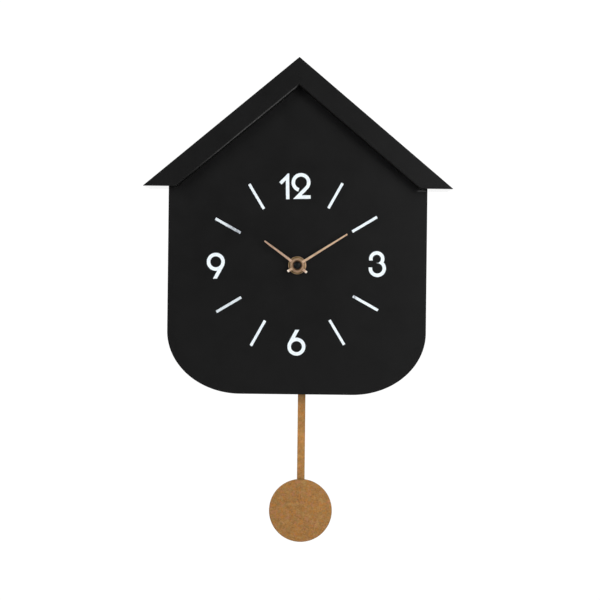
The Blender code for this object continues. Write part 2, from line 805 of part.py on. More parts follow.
def chamber_cutter(name, front, back):
    low_z, high_z = CHAMBERS[name]
    return box(name + "_chamber_cutter", (-CHAMBER_HALF_WIDTH, front, low_z),
               (CHAMBER_HALF_WIDTH, back, high_z))


def lever_slot_cutter():
    return box("lever_slot_cutter",
               (PENDULUM_X - LEVER_SLOT_HALF_WIDTH, LEVER_FRONT - 0.0025, CASE_BOTTOM_Z - CASE_WALL),
               (PENDULUM_X + LEVER_SLOT_HALF_WIDTH, LEVER_BACK + 0.0025, CASE_BOTTOM_Z + 2 * CASE_WALL))


def build_movement_case():
    front = box("movement_case_front", (-CASE_HALF_WIDTH, CASE_FRONT, CASE_BOTTOM_Z),
                (CASE_HALF_WIDTH, CASE_SPLIT, CASE_TOP_Z))
    cut(front, *[chamber_cutter(name, CHAMBER_FRONT, CASE_SPLIT + CASE_WALL) for name in CHAMBERS])
    cut(front, cylinder("bushing_hole_cutter", CLEARANCE_R, CASE_FRONT - CASE_WALL,
                        CHAMBER_FRONT + CASE_WALL, (0.0, DIAL_Z)))
    cut(front, lever_slot_cutter())
    add_part(front, "black_plastic", smooth=False)

    rear_front = CASE_SPLIT + GAP
    rear = box("movement_case_rear", (-CASE_HALF_WIDTH, rear_front, CASE_BOTTOM_Z),
               (CASE_HALF_WIDTH, CASE_BACK, CASE_TOP_Z))
    depth = {"clock": CHAMBER_BACK, "battery": CASE_BACK + CASE_WALL, "pendulum": CHAMBER_BACK}
    cut(rear, *[chamber_cutter(name, rear_front - CASE_WALL, back) for name, back in depth.items()])
    cut(rear, cylinder("knob_hole_cutter", KNOB_ARBOR_R + GAP, CHAMBER_BACK - CASE_WALL,
                       CASE_BACK + CASE_WALL, motion_axis(), 16))
    cut(rear, lever_slot_cutter())
    add_part(rear, "black_plastic", smooth=False)


def build_battery():
    body = BATTERY_HALF_LENGTH
    edge = 2 * GAP
    profile = [
        (0.0, body + BATTERY_NUB_LENGTH),
        (BATTERY_NUB_R, body + BATTERY_NUB_LENGTH),
        (BATTERY_NUB_R, body),
        (BATTERY_R - edge, body),
        (BATTERY_R, body - edge),
        (BATTERY_R, -body + edge),
        (BATTERY_R - edge, -body),
        (0.0, -body),
    ]
    battery = turned("battery", profile, (BATTERY_Y, BATTERY_Z), closed=False, steps=28, along_x=True)
    add_part(battery, "battery_jacket")


def build_battery_contacts():
    wall_x = CHAMBER_HALF_WIDTH - GAP
    add_part(box("battery_contact_positive",
                 (wall_x - CONTACT_THICKNESS, BATTERY_Y - 0.0040, BATTERY_Z - 0.0045),
                 (wall_x, BATTERY_Y + 0.0040, BATTERY_Z + 0.0045)), "steel")
    start_x = -wall_x + SPRING_WIRE_R
    end_x = -BATTERY_HALF_LENGTH - GAP - SPRING_WIRE_R
    spring = bpy.data.curves.new("battery_spring_negative", "CURVE")
    spring.dimensions = "3D"
    spring.bevel_depth = SPRING_WIRE_R
    spring.bevel_resolution = 1
    spring.use_fill_caps = True
    spline = spring.splines.new("POLY")
    steps = 32
    spline.points.add(steps)
    for i, point in enumerate(spline.points):
        share = i / steps
        radius = 0.0048 - 0.0026 * share
        y, z = polar(radius, 2 * math.pi * SPRING_TURNS * share)
        point.co = (start_x + (end_x - start_x) * share, BATTERY_Y + y, BATTERY_Z + z, 1.0)
    add_part(bpy.data.objects.new("battery_spring_negative", spring), "steel")


def build_electronics():
    board = box("circuit_board", (-BOARD_HALF_WIDTH, BOARD_FRONT, BOARD_LOW_Z),
                (BOARD_HALF_WIDTH, BOARD_FRONT + BOARD_THICKNESS, BOARD_HIGH_Z))
    add_part(board, "circuit_board")
    crystal = cylinder("quartz_crystal", CRYSTAL_R, *CRYSTAL_ENDS, CRYSTAL_AT, 12, along_x=True)
    add_part(crystal, "steel")
    spool = spool_profile(MOTOR_COIL_R, MOTOR_CORE_R, *MOTOR_COIL_ENDS, MOTOR_COIL_FLANGE)
    coil = turned("motor_coil", spool, MOTOR_COIL_AT, closed=False, steps=20, along_x=True)
    add_part(coil, "copper")
    cover = box("motor_cover", MOTOR_COVER_LOW, MOTOR_COVER_HIGH)
    soften(cover, MOTOR_COVER_EDGE, segments=1)
    add_part(cover, "white_plastic")


def spool_profile(outer, core, low, high, flange):
    """Section of a bobbin: two flanges with a waist between them, from the high end down."""
    return [
        (0.0, high),
        (outer, high),
        (outer, high - flange),
        (core, high - flange),
        (core, low + flange),
        (outer, low + flange),
        (outer, low),
        (0.0, low),
    ]


# ---------------------------------------------------------------- wheel train

def motion_axis():
    x, z = polar(MOTION_DISTANCE, MOTION_DIRECTION)
    return (x, DIAL_Z + z)


def third_axis():
    x, z = polar(THIRD_DISTANCE, THIRD_DIRECTION)
    return (x, DIAL_Z + z)


def pitch_radius(distance, teeth, mate):
    """Pitch radius of a gear whose mate runs at the given centre distance."""
    return distance * teeth / (teeth + mate)


def gear_outline(radius, teeth, tooth_at):
    """Thin-toothed wheel outline with one tooth centred on the clock angle tooth_at."""
    module = 2 * radius / teeth
    root = radius - DEDENDUM * module
    tip = radius + ADDENDUM * module
    pitch = 2 * math.pi / teeth
    outline = []
    for i in range(teeth):
        middle = tooth_at + i * pitch
        outline.append(polar(root, middle - TOOTH_ROOT * pitch))
        outline.append(polar(tip, middle - TOOTH_TIP * pitch))
        outline.append(polar(tip, middle + TOOTH_TIP * pitch))
        outline.append(polar(root, middle + TOOTH_ROOT * pitch))
    return outline


def opposite(direction, teeth):
    """Where a mate's tooth must stand so that a gap faces the tooth that points at it."""
    return direction + math.pi + math.pi / teeth


def wheel_plate(name, radius, teeth, tooth, front, thickness, axis, hole=None):
    """Toothed disc or pinion from its front face back."""
    loops = [gear_outline(radius, teeth, tooth)]
    if hole is not None:
        loops.append(circle(hole, 20))
    return plate(name, loops, front, front + thickness, axis)


def build_hour_wheel():
    radius = pitch_radius(MOTION_DISTANCE, HOUR_TEETH, MOTION_PINION_TEETH)
    tooth = opposite(MOTION_DIRECTION + math.pi, HOUR_TEETH)
    axis = (0.0, DIAL_Z)
    wheel = wheel_plate("hour_wheel", radius, HOUR_TEETH, tooth, HOUR_WHEEL_FRONT, HOUR_WHEEL_THICKNESS,
                        axis, HOUR_TUBE_BORE_R)
    tube_back = HOUR_WHEEL_FRONT + HOUR_WHEEL_THICKNESS - OVERLAP
    tube = turned("hour_wheel_tube", ring_profile(HOUR_TUBE_R, HOUR_TUBE_BORE_R, HOUR_TUBE_FRONT, tube_back),
                  axis, closed=True, steps=20)
    join(wheel, tube)
    add_part(wheel, "white_plastic")


def build_motion_wheel():
    radius = pitch_radius(MOTION_DISTANCE, MOTION_TEETH, CANNON_TEETH)
    pinion_radius = pitch_radius(MOTION_DISTANCE, MOTION_PINION_TEETH, HOUR_TEETH)
    axis = motion_axis()
    wheel = wheel_plate("motion_wheel", radius, MOTION_TEETH, opposite(MOTION_DIRECTION, MOTION_TEETH),
                        MOTION_WHEEL_FRONT, WHEEL_THICKNESS, axis)
    pinion = wheel_plate("motion_pinion", pinion_radius, MOTION_PINION_TEETH, MOTION_DIRECTION + math.pi,
                         MOTION_PINION_FRONT, PINION_LENGTH, axis)
    arbor_back = CASE_BACK + KNOB_SOCKET_DEPTH - MARK_GAP
    arbor = cylinder("motion_arbor", KNOB_ARBOR_R, CHAMBER_FRONT + GAP, arbor_back, axis, 14)
    join(wheel, pinion, arbor)
    add_part(wheel, "white_plastic")


def build_setting_knob():
    """Fluted knob pushed on the motion wheel's arbor behind the rear cover."""
    pitch = 2 * math.pi / KNOB_FLUTES
    outline = []
    for i in range(KNOB_FLUTES):
        outline.append(polar(KNOB_R, i * pitch))
        outline.append(polar(KNOB_R * KNOB_FLUTE_SHARE, (i + 0.5) * pitch))
    front = CASE_BACK + GAP
    axis = motion_axis()
    knob = plate("setting_knob", [outline], front, front + KNOB_THICKNESS, axis)
    cut(knob, cylinder("knob_socket_cutter", KNOB_ARBOR_R + GAP, front - KNOB_SOCKET_DEPTH,
                       front + KNOB_SOCKET_DEPTH, axis, 16))
    add_part(knob, "black_plastic")


def build_centre_wheel():
    radius = pitch_radius(THIRD_DISTANCE, CENTRE_TEETH, THIRD_PINION_TEETH)
    cannon_radius = pitch_radius(MOTION_DISTANCE, CANNON_TEETH, MOTION_TEETH)
    axis = (0.0, DIAL_Z)
    wheel = wheel_plate("centre_wheel", radius, CENTRE_TEETH, THIRD_DIRECTION, CENTRE_WHEEL_FRONT,
                        WHEEL_THICKNESS, axis)
    cannon = wheel_plate("cannon_pinion", cannon_radius, CANNON_TEETH, MOTION_DIRECTION, CANNON_FRONT,
                         PINION_LENGTH, axis)
    arbor = cylinder("minute_arbor", MINUTE_ARBOR_R, MINUTE_HAND_FRONT - GAP,
                     CENTRE_WHEEL_FRONT + WHEEL_THICKNESS + OVERLAP, axis, 20)
    join(wheel, cannon, arbor)
    add_part(wheel, "white_plastic")


def build_third_wheel():
    radius = pitch_radius(THIRD_DISTANCE, THIRD_TEETH, SECONDS_PINION_TEETH)
    pinion_radius = pitch_radius(THIRD_DISTANCE, THIRD_PINION_TEETH, CENTRE_TEETH)
    axis = third_axis()
    wheel = wheel_plate("third_wheel", radius, THIRD_TEETH, THIRD_DIRECTION + math.pi, THIRD_WHEEL_FRONT,
                        WHEEL_THICKNESS, axis)
    pinion = wheel_plate("third_pinion", pinion_radius, THIRD_PINION_TEETH,
                         opposite(THIRD_DIRECTION, THIRD_PINION_TEETH), THIRD_PINION_FRONT, PINION_LENGTH,
                         axis)
    arbor = cylinder("third_arbor", ARBOR_R, CHAMBER_FRONT + GAP, CHAMBER_BACK - GAP, axis, 12)
    join(wheel, pinion, arbor)
    add_part(wheel, "white_plastic")


def build_seconds_wheel():
    pinion_radius = pitch_radius(THIRD_DISTANCE, SECONDS_PINION_TEETH, THIRD_TEETH)
    axis = (0.0, DIAL_Z)
    wheel = wheel_plate("seconds_wheel", SECONDS_R, SECONDS_TEETH, 0.0, SECONDS_WHEEL_FRONT,
                        WHEEL_THICKNESS, axis)
    pinion = wheel_plate("seconds_pinion", pinion_radius, SECONDS_PINION_TEETH,
                         opposite(THIRD_DIRECTION + math.pi, SECONDS_PINION_TEETH), SECONDS_PINION_FRONT,
                         SECONDS_WHEEL_FRONT - SECONDS_PINION_FRONT + OVERLAP, axis)
    arbor = cylinder("seconds_arbor", ARBOR_R, SECONDS_PINION_FRONT + MARK_GAP, CHAMBER_BACK - GAP, axis, 12)
    join(wheel, pinion, arbor)
    add_part(wheel, "white_plastic")


# ---------------------------------------------------------------- pendulum

def build_pendulum_drive():
    coil_front = CHAMBER_FRONT + GAP
    coil = ring_profile(COIL_R, COIL_BORE_R, coil_front, coil_front + COIL_THICKNESS)
    add_part(turned("pendulum_coil", coil, (PENDULUM_X, MAGNET_Z), closed=True, steps=28), "copper")
    pin = cylinder("pendulum_pivot_pin", PIN_R, CHAMBER_FRONT + GAP, CHAMBER_BACK - GAP,
                   (PENDULUM_X, PIVOT_Z), 12)
    add_part(pin, "steel")
    magnet_back = LEVER_FRONT - GAP
    magnet = cylinder("pendulum_magnet", MAGNET_R, magnet_back - MAGNET_THICKNESS, magnet_back,
                      (PENDULUM_X, MAGNET_Z), 24)
    add_part(magnet, "magnet")


def build_pendulum_lever():
    """Arm on the pivot pin, with a peg at its foot that the rod hangs on."""
    axis = (PENDULUM_X, PIVOT_Z)
    half = LEVER_HALF_WIDTH
    foot = LEVER_BOTTOM_Z - PIVOT_Z
    outline = arc((0.0, 0.0), LEVER_HUB_R, LEVER_HUB_R, -math.pi / 2, math.pi / 2, 12)
    outline += arc((0.0, foot + half), half, half, math.pi / 2, 3 * math.pi / 2, 10)
    lever = plate("pendulum_lever", [outline, circle(PIN_R + GAP, 16)], LEVER_FRONT, LEVER_BACK, axis)
    peg = cylinder("lever_peg", PEG_R, ROD_FRONT - 3 * GAP, LEVER_FRONT + GAP, (PENDULUM_X, PEG_Z), 16)
    join(lever, peg)
    add_part(lever, "white_plastic")


def build_pendulum_rod():
    axis = (PENDULUM_X, PIVOT_Z)
    half = ROD_HALF_WIDTH
    top = ROD_TOP_Z - PIVOT_Z
    bottom = ROD_BOTTOM_Z - PIVOT_Z
    outline = arc((0.0, top - half), half, half, -math.pi / 2, math.pi / 2, 12)
    outline += [(half, bottom), (-half, bottom)]
    hole = circle(PEG_R + GAP, 16, (0.0, PEG_Z - PIVOT_Z))
    rod = plate("pendulum_rod", [outline, hole], ROD_FRONT, ROD_FRONT + ROD_THICKNESS, axis)
    add_part(rod, "gold_paint")


def build_pendulum_bob():
    back = ROD_FRONT - GAP
    front = back - BOB_THICKNESS
    profile = [
        (0.0, front),
        (BOB_R - BOB_RIM, front),
        (BOB_R - 0.3 * BOB_RIM, front + 0.3 * BOB_RIM),
        (BOB_R, front + BOB_RIM),
        (BOB_R, back - BOB_RIM / 2),
        (BOB_R - BOB_RIM / 2, back),
        (0.0, back),
    ]
    bob = turned("pendulum_bob", profile, (PENDULUM_X, BOB_Z), closed=False, steps=56)
    add_part(bob, "gold_paint")


def build_clock():
    clear_scene()
    build_face_panel()
    build_side_walls()
    build_bottom_wall()
    build_roof_boards()
    build_hanging_block()
    build_hanger_plate()
    build_hanger_screws()
    build_dial()
    build_hands()
    build_hand_cap()
    build_handset()
    build_movement_case()
    build_battery()
    build_battery_contacts()
    build_electronics()
    build_hour_wheel()
    build_motion_wheel()
    build_setting_knob()
    build_centre_wheel()
    build_third_wheel()
    build_seconds_wheel()
    build_pendulum_drive()
    build_pendulum_lever()
    build_pendulum_rod()
    build_pendulum_bob()


build_clock()
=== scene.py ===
"""Looks of the house-shaped pendulum wall clock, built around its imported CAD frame.

Metres, in the frame's own axes: the origin is the hanging point in the wall plane, the front faces
-Y, +X is to the right as seen from the front, and +Z is up.
"""
import math

import bmesh
import bpy
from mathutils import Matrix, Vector


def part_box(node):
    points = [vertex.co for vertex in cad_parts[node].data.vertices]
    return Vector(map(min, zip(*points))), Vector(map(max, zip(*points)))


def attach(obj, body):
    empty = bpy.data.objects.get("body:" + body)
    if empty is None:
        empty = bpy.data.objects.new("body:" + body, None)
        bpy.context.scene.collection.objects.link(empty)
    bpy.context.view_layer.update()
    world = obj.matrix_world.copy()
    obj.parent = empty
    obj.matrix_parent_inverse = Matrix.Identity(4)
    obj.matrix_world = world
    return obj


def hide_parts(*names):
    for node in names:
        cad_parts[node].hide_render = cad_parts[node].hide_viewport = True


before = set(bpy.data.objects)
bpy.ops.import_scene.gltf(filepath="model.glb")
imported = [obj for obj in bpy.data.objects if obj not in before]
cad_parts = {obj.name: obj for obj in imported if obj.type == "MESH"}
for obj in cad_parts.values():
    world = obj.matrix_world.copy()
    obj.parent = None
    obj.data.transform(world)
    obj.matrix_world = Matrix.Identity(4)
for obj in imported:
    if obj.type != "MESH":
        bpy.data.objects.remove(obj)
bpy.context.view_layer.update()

# Shared: seam between new boards, the CAD's own gap, limits of welding, flat and smooth, and how far
# a cutter stands out of what it cuts
SEAM = 0.00002
GAP = 0.0003
WELD = 0.000001
FLAT_ANGLE = math.radians(0.5)
SMOOTH_ANGLE = math.radians(38.0)
CUT_PAST = 0.001

# Camera, light and floor
CAMERA_AT = (0.0025, -1.41, -0.140)
CAMERA_SHIFT_Y = -0.0577
CAMERA_ROLL = math.radians(-0.65)
CAMERA_LENS = 90.10
CAMERA_SENSOR = 36.0
WHITE_BACKGROUND = 1.04
STUDIO_FRONT = 0.10
STUDIO_BACK = 1.0
FLOOR_Z = -1.2
FLOOR_RADIUS = 2.2


def centre_of(node):
    """X and Z of the middle of a CAD node's box."""
    low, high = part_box(node)
    return ((low.x + high.x) / 2, (low.z + high.z) / 2)


# Places that the frame's boxes give
PANEL_LOW, PANEL_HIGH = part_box("face_panel")
BOARD_LOW, BOARD_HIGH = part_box("roof_board_right")
ROD_LOW, ROD_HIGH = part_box("pendulum_rod")
BOB_LOW, BOB_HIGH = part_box("pendulum_bob")
DIAL = centre_of("dial_washer")

# Case: the CAD's own slope and sizes, then how far each kind of edge is rounded here
ROOF_SLOPE = math.radians(40.0)
ROOF_THICKNESS = 0.0193
ROOF_HALF_WIDTH = 0.140
EAVE_Z = BOARD_LOW.z
APEX_Z = EAVE_Z + ROOF_HALF_WIDTH * math.tan(ROOF_SLOPE)
SOFFIT_APEX_Z = APEX_Z - ROOF_THICKNESS / math.cos(ROOF_SLOPE)
EAVE_INNER_X = (SOFFIT_APEX_Z - EAVE_Z) / math.tan(ROOF_SLOPE)
BODY_HALF_WIDTH = PANEL_HIGH.x
BODY_BOTTOM_Z = PANEL_LOW.z
CORNER_RX = 0.0667
CORNER_RZ = 0.0566
CORNER_X = BODY_HALF_WIDTH - CORNER_RX
CORNER_Z = BODY_BOTTOM_Z + CORNER_RZ
WALL = 0.009
SLOT_HALF_WIDTH = 0.018
SLOT_FRONT = -0.0365
FACE_EDGE = 0.0008
BOARD_EDGE = 0.0008
SOFFIT_EDGE = 0.0014
WALL_EDGE = 0.0003

# Cross recess of the hanger's screws, which the CAD doesn't have
RECESS_HALF_LENGTH = 0.0018
RECESS_HALF_WIDTH = 0.0004
RECESS_DEPTH = 0.0008
RECESS_DEGREES = 20.0

# Hands: the CAD's own angles, lengths and widths
MINUTE_TURN = math.radians(57.5)
MINUTE_TIP = 0.0532
MINUTE_TAIL = 0.0103
MINUTE_HUB_R = 0.0055
HOUR_TURN = math.radians(306.1)
HOUR_TIP = 0.0369
HOUR_TAIL = 0.0108
HOUR_HUB_R = 0.0065
HAND_ROOT_WIDTH = 0.0022
HAND_TIP_WIDTH = 0.0014
HOUR_BORE_R = 0.0029

# Hands: the edges, the minute hand's pressed hub and the cap's dome, which are finer than the CAD's
HAND_EDGE = 0.00010
EYELET_R = 0.0036
COLLET_R = 0.0048
COLLET_BORE_R = 0.0019
COLLET_BACK = 0.00060
CAP_DOME = 0.6
CAP_DOT_R = 0.00002

# Bushing and nut: the CAD's own bore and flange, with a thread and chamfers added
BUSHING_BORE_R = 0.0029
THREAD_PITCH = 0.0005
THREAD_DEPTH = 0.00028
FLANGE_THICKNESS = 0.0010
NUT_CHAMFER = 0.00010
NUT_CHAMFER_SLOPE = 0.55

# Pendulum; the rod's painted shade and light, darker under the case, is listed as (z, share) from its top
# down
BOB_RIM = 0.0006
BOB_DOT_R = 0.0001
PEG_Z = -0.2285
PEG_HOLE_R = 0.0015
ROD_EDGE = 0.00018
ROD_PAINTED_LIGHT_AND_SHADE = [(-0.258, 0.90), (-0.268, 1.02), (-0.300, 1.26), (-0.335, 1.04)]

# Movement: relief of its rear cover, the knob's dish and the battery's sleeve
BAY_MARGIN = 0.0013
GROOVE_INSET = 0.0030
GROOVE_WIDTH = 0.0007
GROOVE_DEPTH = 0.0004
GROOVE_CORNER = 0.0020
GROOVE_INNER_CORNER = 0.0014
KNOB_RING_R = 0.0075
SCOOP_R = 0.0070
SCOOP_RISE = 0.0020
SCOOP_DEPTH = 0.0007
LATCH_INSET = 0.018
LATCH_HALF_WIDTH = 0.0005
LATCH_HALF_HEIGHT = 0.004
LATCH_FRONT = 0.0042
LATCH_BACK = 0.0024
DISH_R = 0.0032
DISH_DEPTH = 0.0005
SLEEVE_INSET = 0.0013


# ---------------------------------------------------------------- shapes

def arc(centre, radius_x, radius_z, start, end, steps):
    """Points from one clock angle to another along an ellipse, both ends included."""
    points = []
    for i in range(steps + 1):
        angle = start + (end - start) * i / steps
        points.append((centre[0] + radius_x * math.sin(angle), centre[1] + radius_z * math.cos(angle)))
    return points


def circle(radius, steps, centre=(0.0, 0.0)):
    return arc(centre, radius, radius, 0.0, 2 * math.pi * (steps - 1) / steps, steps - 1)


def rectangle(low_x, high_x, low_z, high_z):
    return [(low_x, low_z), (high_x, low_z), (high_x, high_z), (low_x, high_z)]


def mirrored(points):
    return [(-x, z) for x, z in reversed(points)]


def curve_to_mesh(curve_object, name):
    """Mesh object with the curve's evaluated shape in place; the curve is removed."""
    bpy.context.view_layer.update()
    graph = bpy.context.evaluated_depsgraph_get()
    mesh = bpy.data.meshes.new_from_object(curve_object.evaluated_get(graph))
    mesh.transform(curve_object.matrix_world)
    shape = bmesh.new()
    shape.from_mesh(mesh)
    bmesh.ops.remove_doubles(shape, verts=shape.verts, dist=WELD)
    bmesh.ops.dissolve_limit(shape, angle_limit=math.radians(0.2), verts=shape.verts, edges=shape.edges)
    bmesh.ops.recalc_face_normals(shape, faces=shape.faces)
    shape.to_mesh(mesh)
    shape.free()
    bpy.data.objects.remove(curve_object, do_unlink=True)
    return link_mesh(name, mesh)


def link_mesh(name, mesh):
    mesh.name = name
    obj = bpy.data.objects.new(name, mesh)
    bpy.context.scene.collection.objects.link(obj)
    return obj


def plate(name, loops, front, back, centre=(0.0, 0.0), turn=0.0):
    """Upright flat piece: closed outlines in X and Z, thick along Y, turned clockwise about centre."""
    curve = bpy.data.curves.new(name, "CURVE")
    curve.dimensions = "2D"
    curve.fill_mode = "BOTH"
    curve.extrude = (back - front) / 2
    for loop in loops:
        spline = curve.splines.new("POLY")
        spline.points.add(len(loop) - 1)
        spline.use_cyclic_u = True
        for point, (x, z) in zip(spline.points, loop):
            point.co = (x, z, 0.0, 1.0)
    flat = bpy.data.objects.new(name + "_outline", curve)
    bpy.context.scene.collection.objects.link(flat)
    flat.location = (centre[0], (front + back) / 2, centre[1])
    flat.rotation_euler = (math.pi / 2, turn, 0.0)
    return curve_to_mesh(flat, name)


def round_rows(name, rows, centre, steps=96, closed=True):
    """Piece round about Y: each row is (radius, y), or a function of the angle that returns them.

    Rows run from the front down the outside to the back; a closed piece goes back up its bore.
    """
    shape = bmesh.new()
    rings = []
    for row in rows:
        ring = []
        for i in range(steps):
            angle = 2 * math.pi * i / steps
            radius, y = row(angle) if callable(row) else row
            x = centre[0] + radius * math.sin(angle)
            z = centre[1] + radius * math.cos(angle)
            ring.append(shape.verts.new((x, y, z)))
        rings.append(ring)
    pairs = list(zip(rings, rings[1:]))
    if closed:
        pairs.append((rings[-1], rings[0]))
    for first, second in pairs:
        for i in range(steps):
            k = (i + 1) % steps
            shape.faces.new((first[i], first[k], second[k], second[i]))
    if not closed:
        shape.faces.new(rings[0])
        shape.faces.new(rings[-1])
    bmesh.ops.remove_doubles(shape, verts=shape.verts, dist=WELD)
    bmesh.ops.recalc_face_normals(shape, faces=shape.faces)
    mesh = bpy.data.meshes.new(name)
    shape.to_mesh(mesh)
    shape.free()
    return link_mesh(name, mesh)


def cut_away(obj, cutter):
    """Subtract one mesh from another, and remove the cutter."""
    modifier = obj.modifiers.new("cut", "BOOLEAN")
    modifier.operation = "DIFFERENCE"
    modifier.solver = "EXACT"
    modifier.object = cutter
    bpy.context.view_layer.update()
    graph = bpy.context.evaluated_depsgraph_get()
    mesh = bpy.data.meshes.new_from_object(obj.evaluated_get(graph))
    obj.modifiers.clear()
    obj.data = mesh
    bpy.data.objects.remove(cutter, do_unlink=True)
    return obj


def carved(node, name, cutters):
    """New piece with a CAD node's own shape, welded and flattened, less the cutters."""
    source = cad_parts[node]
    mesh = source.data.copy()
    mesh.transform(source.matrix_world)
    shape = bmesh.new()
    shape.from_mesh(mesh)
    bmesh.ops.remove_doubles(shape, verts=shape.verts, dist=WELD)
    bmesh.ops.dissolve_limit(shape, angle_limit=FLAT_ANGLE, verts=shape.verts, edges=shape.edges)
    shape.to_mesh(mesh)
    shape.free()
    obj = link_mesh(name, mesh)
    for cutter in cutters:
        obj = cut_away(obj, cutter)
    return obj


def frame_outline(low_x, high_x, low_z, high_z, corner):
    """Rectangle with rounded corners."""
    outline = arc((high_x - corner, high_z - corner), corner, corner, 0.0, math.pi / 2, 6)
    outline += arc((high_x - corner, low_z + corner), corner, corner, math.pi / 2, math.pi, 6)
    outline += arc((low_x + corner, low_z + corner), corner, corner, math.pi, 1.5 * math.pi, 6)
    outline += arc((low_x + corner, high_z - corner), corner, corner, 1.5 * math.pi, 2 * math.pi, 6)
    return outline


def groove(name, low_x, high_x, low_z, high_z, front, back):
    """Cutter for a narrow rectangular groove."""
    outer = frame_outline(low_x, high_x, low_z, high_z, GROOVE_CORNER)
    inner = frame_outline(low_x + GROOVE_WIDTH, high_x - GROOVE_WIDTH,
                          low_z + GROOVE_WIDTH, high_z - GROOVE_WIDTH, GROOVE_INNER_CORNER)
    return plate(name, [outer, inner], front, back)


def round_edges(obj, width, segments):
    bevel = obj.modifiers.new("edges", "BEVEL")
    bevel.width = width
    bevel.segments = segments
    bevel.limit_method = "ANGLE"
    bevel.angle_limit = SMOOTH_ANGLE
    bevel.harden_normals = True


def soften(obj, width, segments=3):
    """Round the sharp edges of a new piece and shade it smooth."""
    obj.data.shade_smooth()
    obj.data.set_sharp_from_angle(angle=SMOOTH_ANGLE)
    if width > 0.0:
        round_edges(obj, width, segments)
    return obj


def smooth_by_angle():
    """Node group that welds an imported mesh and shades it smooth, but for its sharp edges."""
    tree = bpy.data.node_groups.new("smooth_by_angle", "GeometryNodeTree")
    tree.interface.new_socket("Geometry", in_out="INPUT", socket_type="NodeSocketGeometry")
    tree.interface.new_socket("Geometry", in_out="OUTPUT", socket_type="NodeSocketGeometry")
    start = tree.nodes.new("NodeGroupInput")
    end = tree.nodes.new("NodeGroupOutput")
    weld = tree.nodes.new("GeometryNodeMergeByDistance")
    weld.inputs["Distance"].default_value = WELD
    angle = tree.nodes.new("GeometryNodeInputMeshEdgeAngle")
    sharp = tree.nodes.new("FunctionNodeCompare")
    sharp.operation = "GREATER_THAN"
    sharp.inputs[1].default_value = SMOOTH_ANGLE
    normals = tree.nodes.new("GeometryNodeSetMeshNormal")
    normals.mode = "SHARPNESS"
    normals.inputs["Remove Custom"].default_value = True
    tree.links.new(start.outputs[0], weld.inputs["Geometry"])
    tree.links.new(weld.outputs[0], normals.inputs["Mesh"])
    tree.links.new(angle.outputs["Unsigned Angle"], sharp.inputs[0])
    tree.links.new(sharp.outputs[0], normals.inputs["Edge Sharpness"])
    tree.links.new(normals.outputs[0], end.inputs[0])
    return tree


SMOOTHING = smooth_by_angle()


def refine(node, material, edge=0.0):
    """Give a CAD node that stays its material, smooth shading and, if asked, rounded edges."""
    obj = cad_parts[node]
    for held in obj.material_slots:
        held.material = material
    smooth = obj.modifiers.new("smooth", "NODES")
    smooth.node_group = SMOOTHING
    if edge > 0.0:
        flat = obj.modifiers.new("flat_faces", "DECIMATE")
        flat.decimate_type = "DISSOLVE"
        flat.angle_limit = FLAT_ANGLE
        round_edges(obj, edge, 2)
    else:
        obj.modifiers.new("shading", "WEIGHTED_NORMAL").keep_sharp = True


def place(obj, material, body, slot, *nodes):
    """Finish a new piece: its material, the body it rides on and the CAD nodes it replaces; the slot argument
    is not used.
    """
    obj.data.materials.clear()
    obj.data.materials.append(material)
    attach(obj, body)
    if nodes:
        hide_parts(*nodes)


# ---------------------------------------------------------------- materials

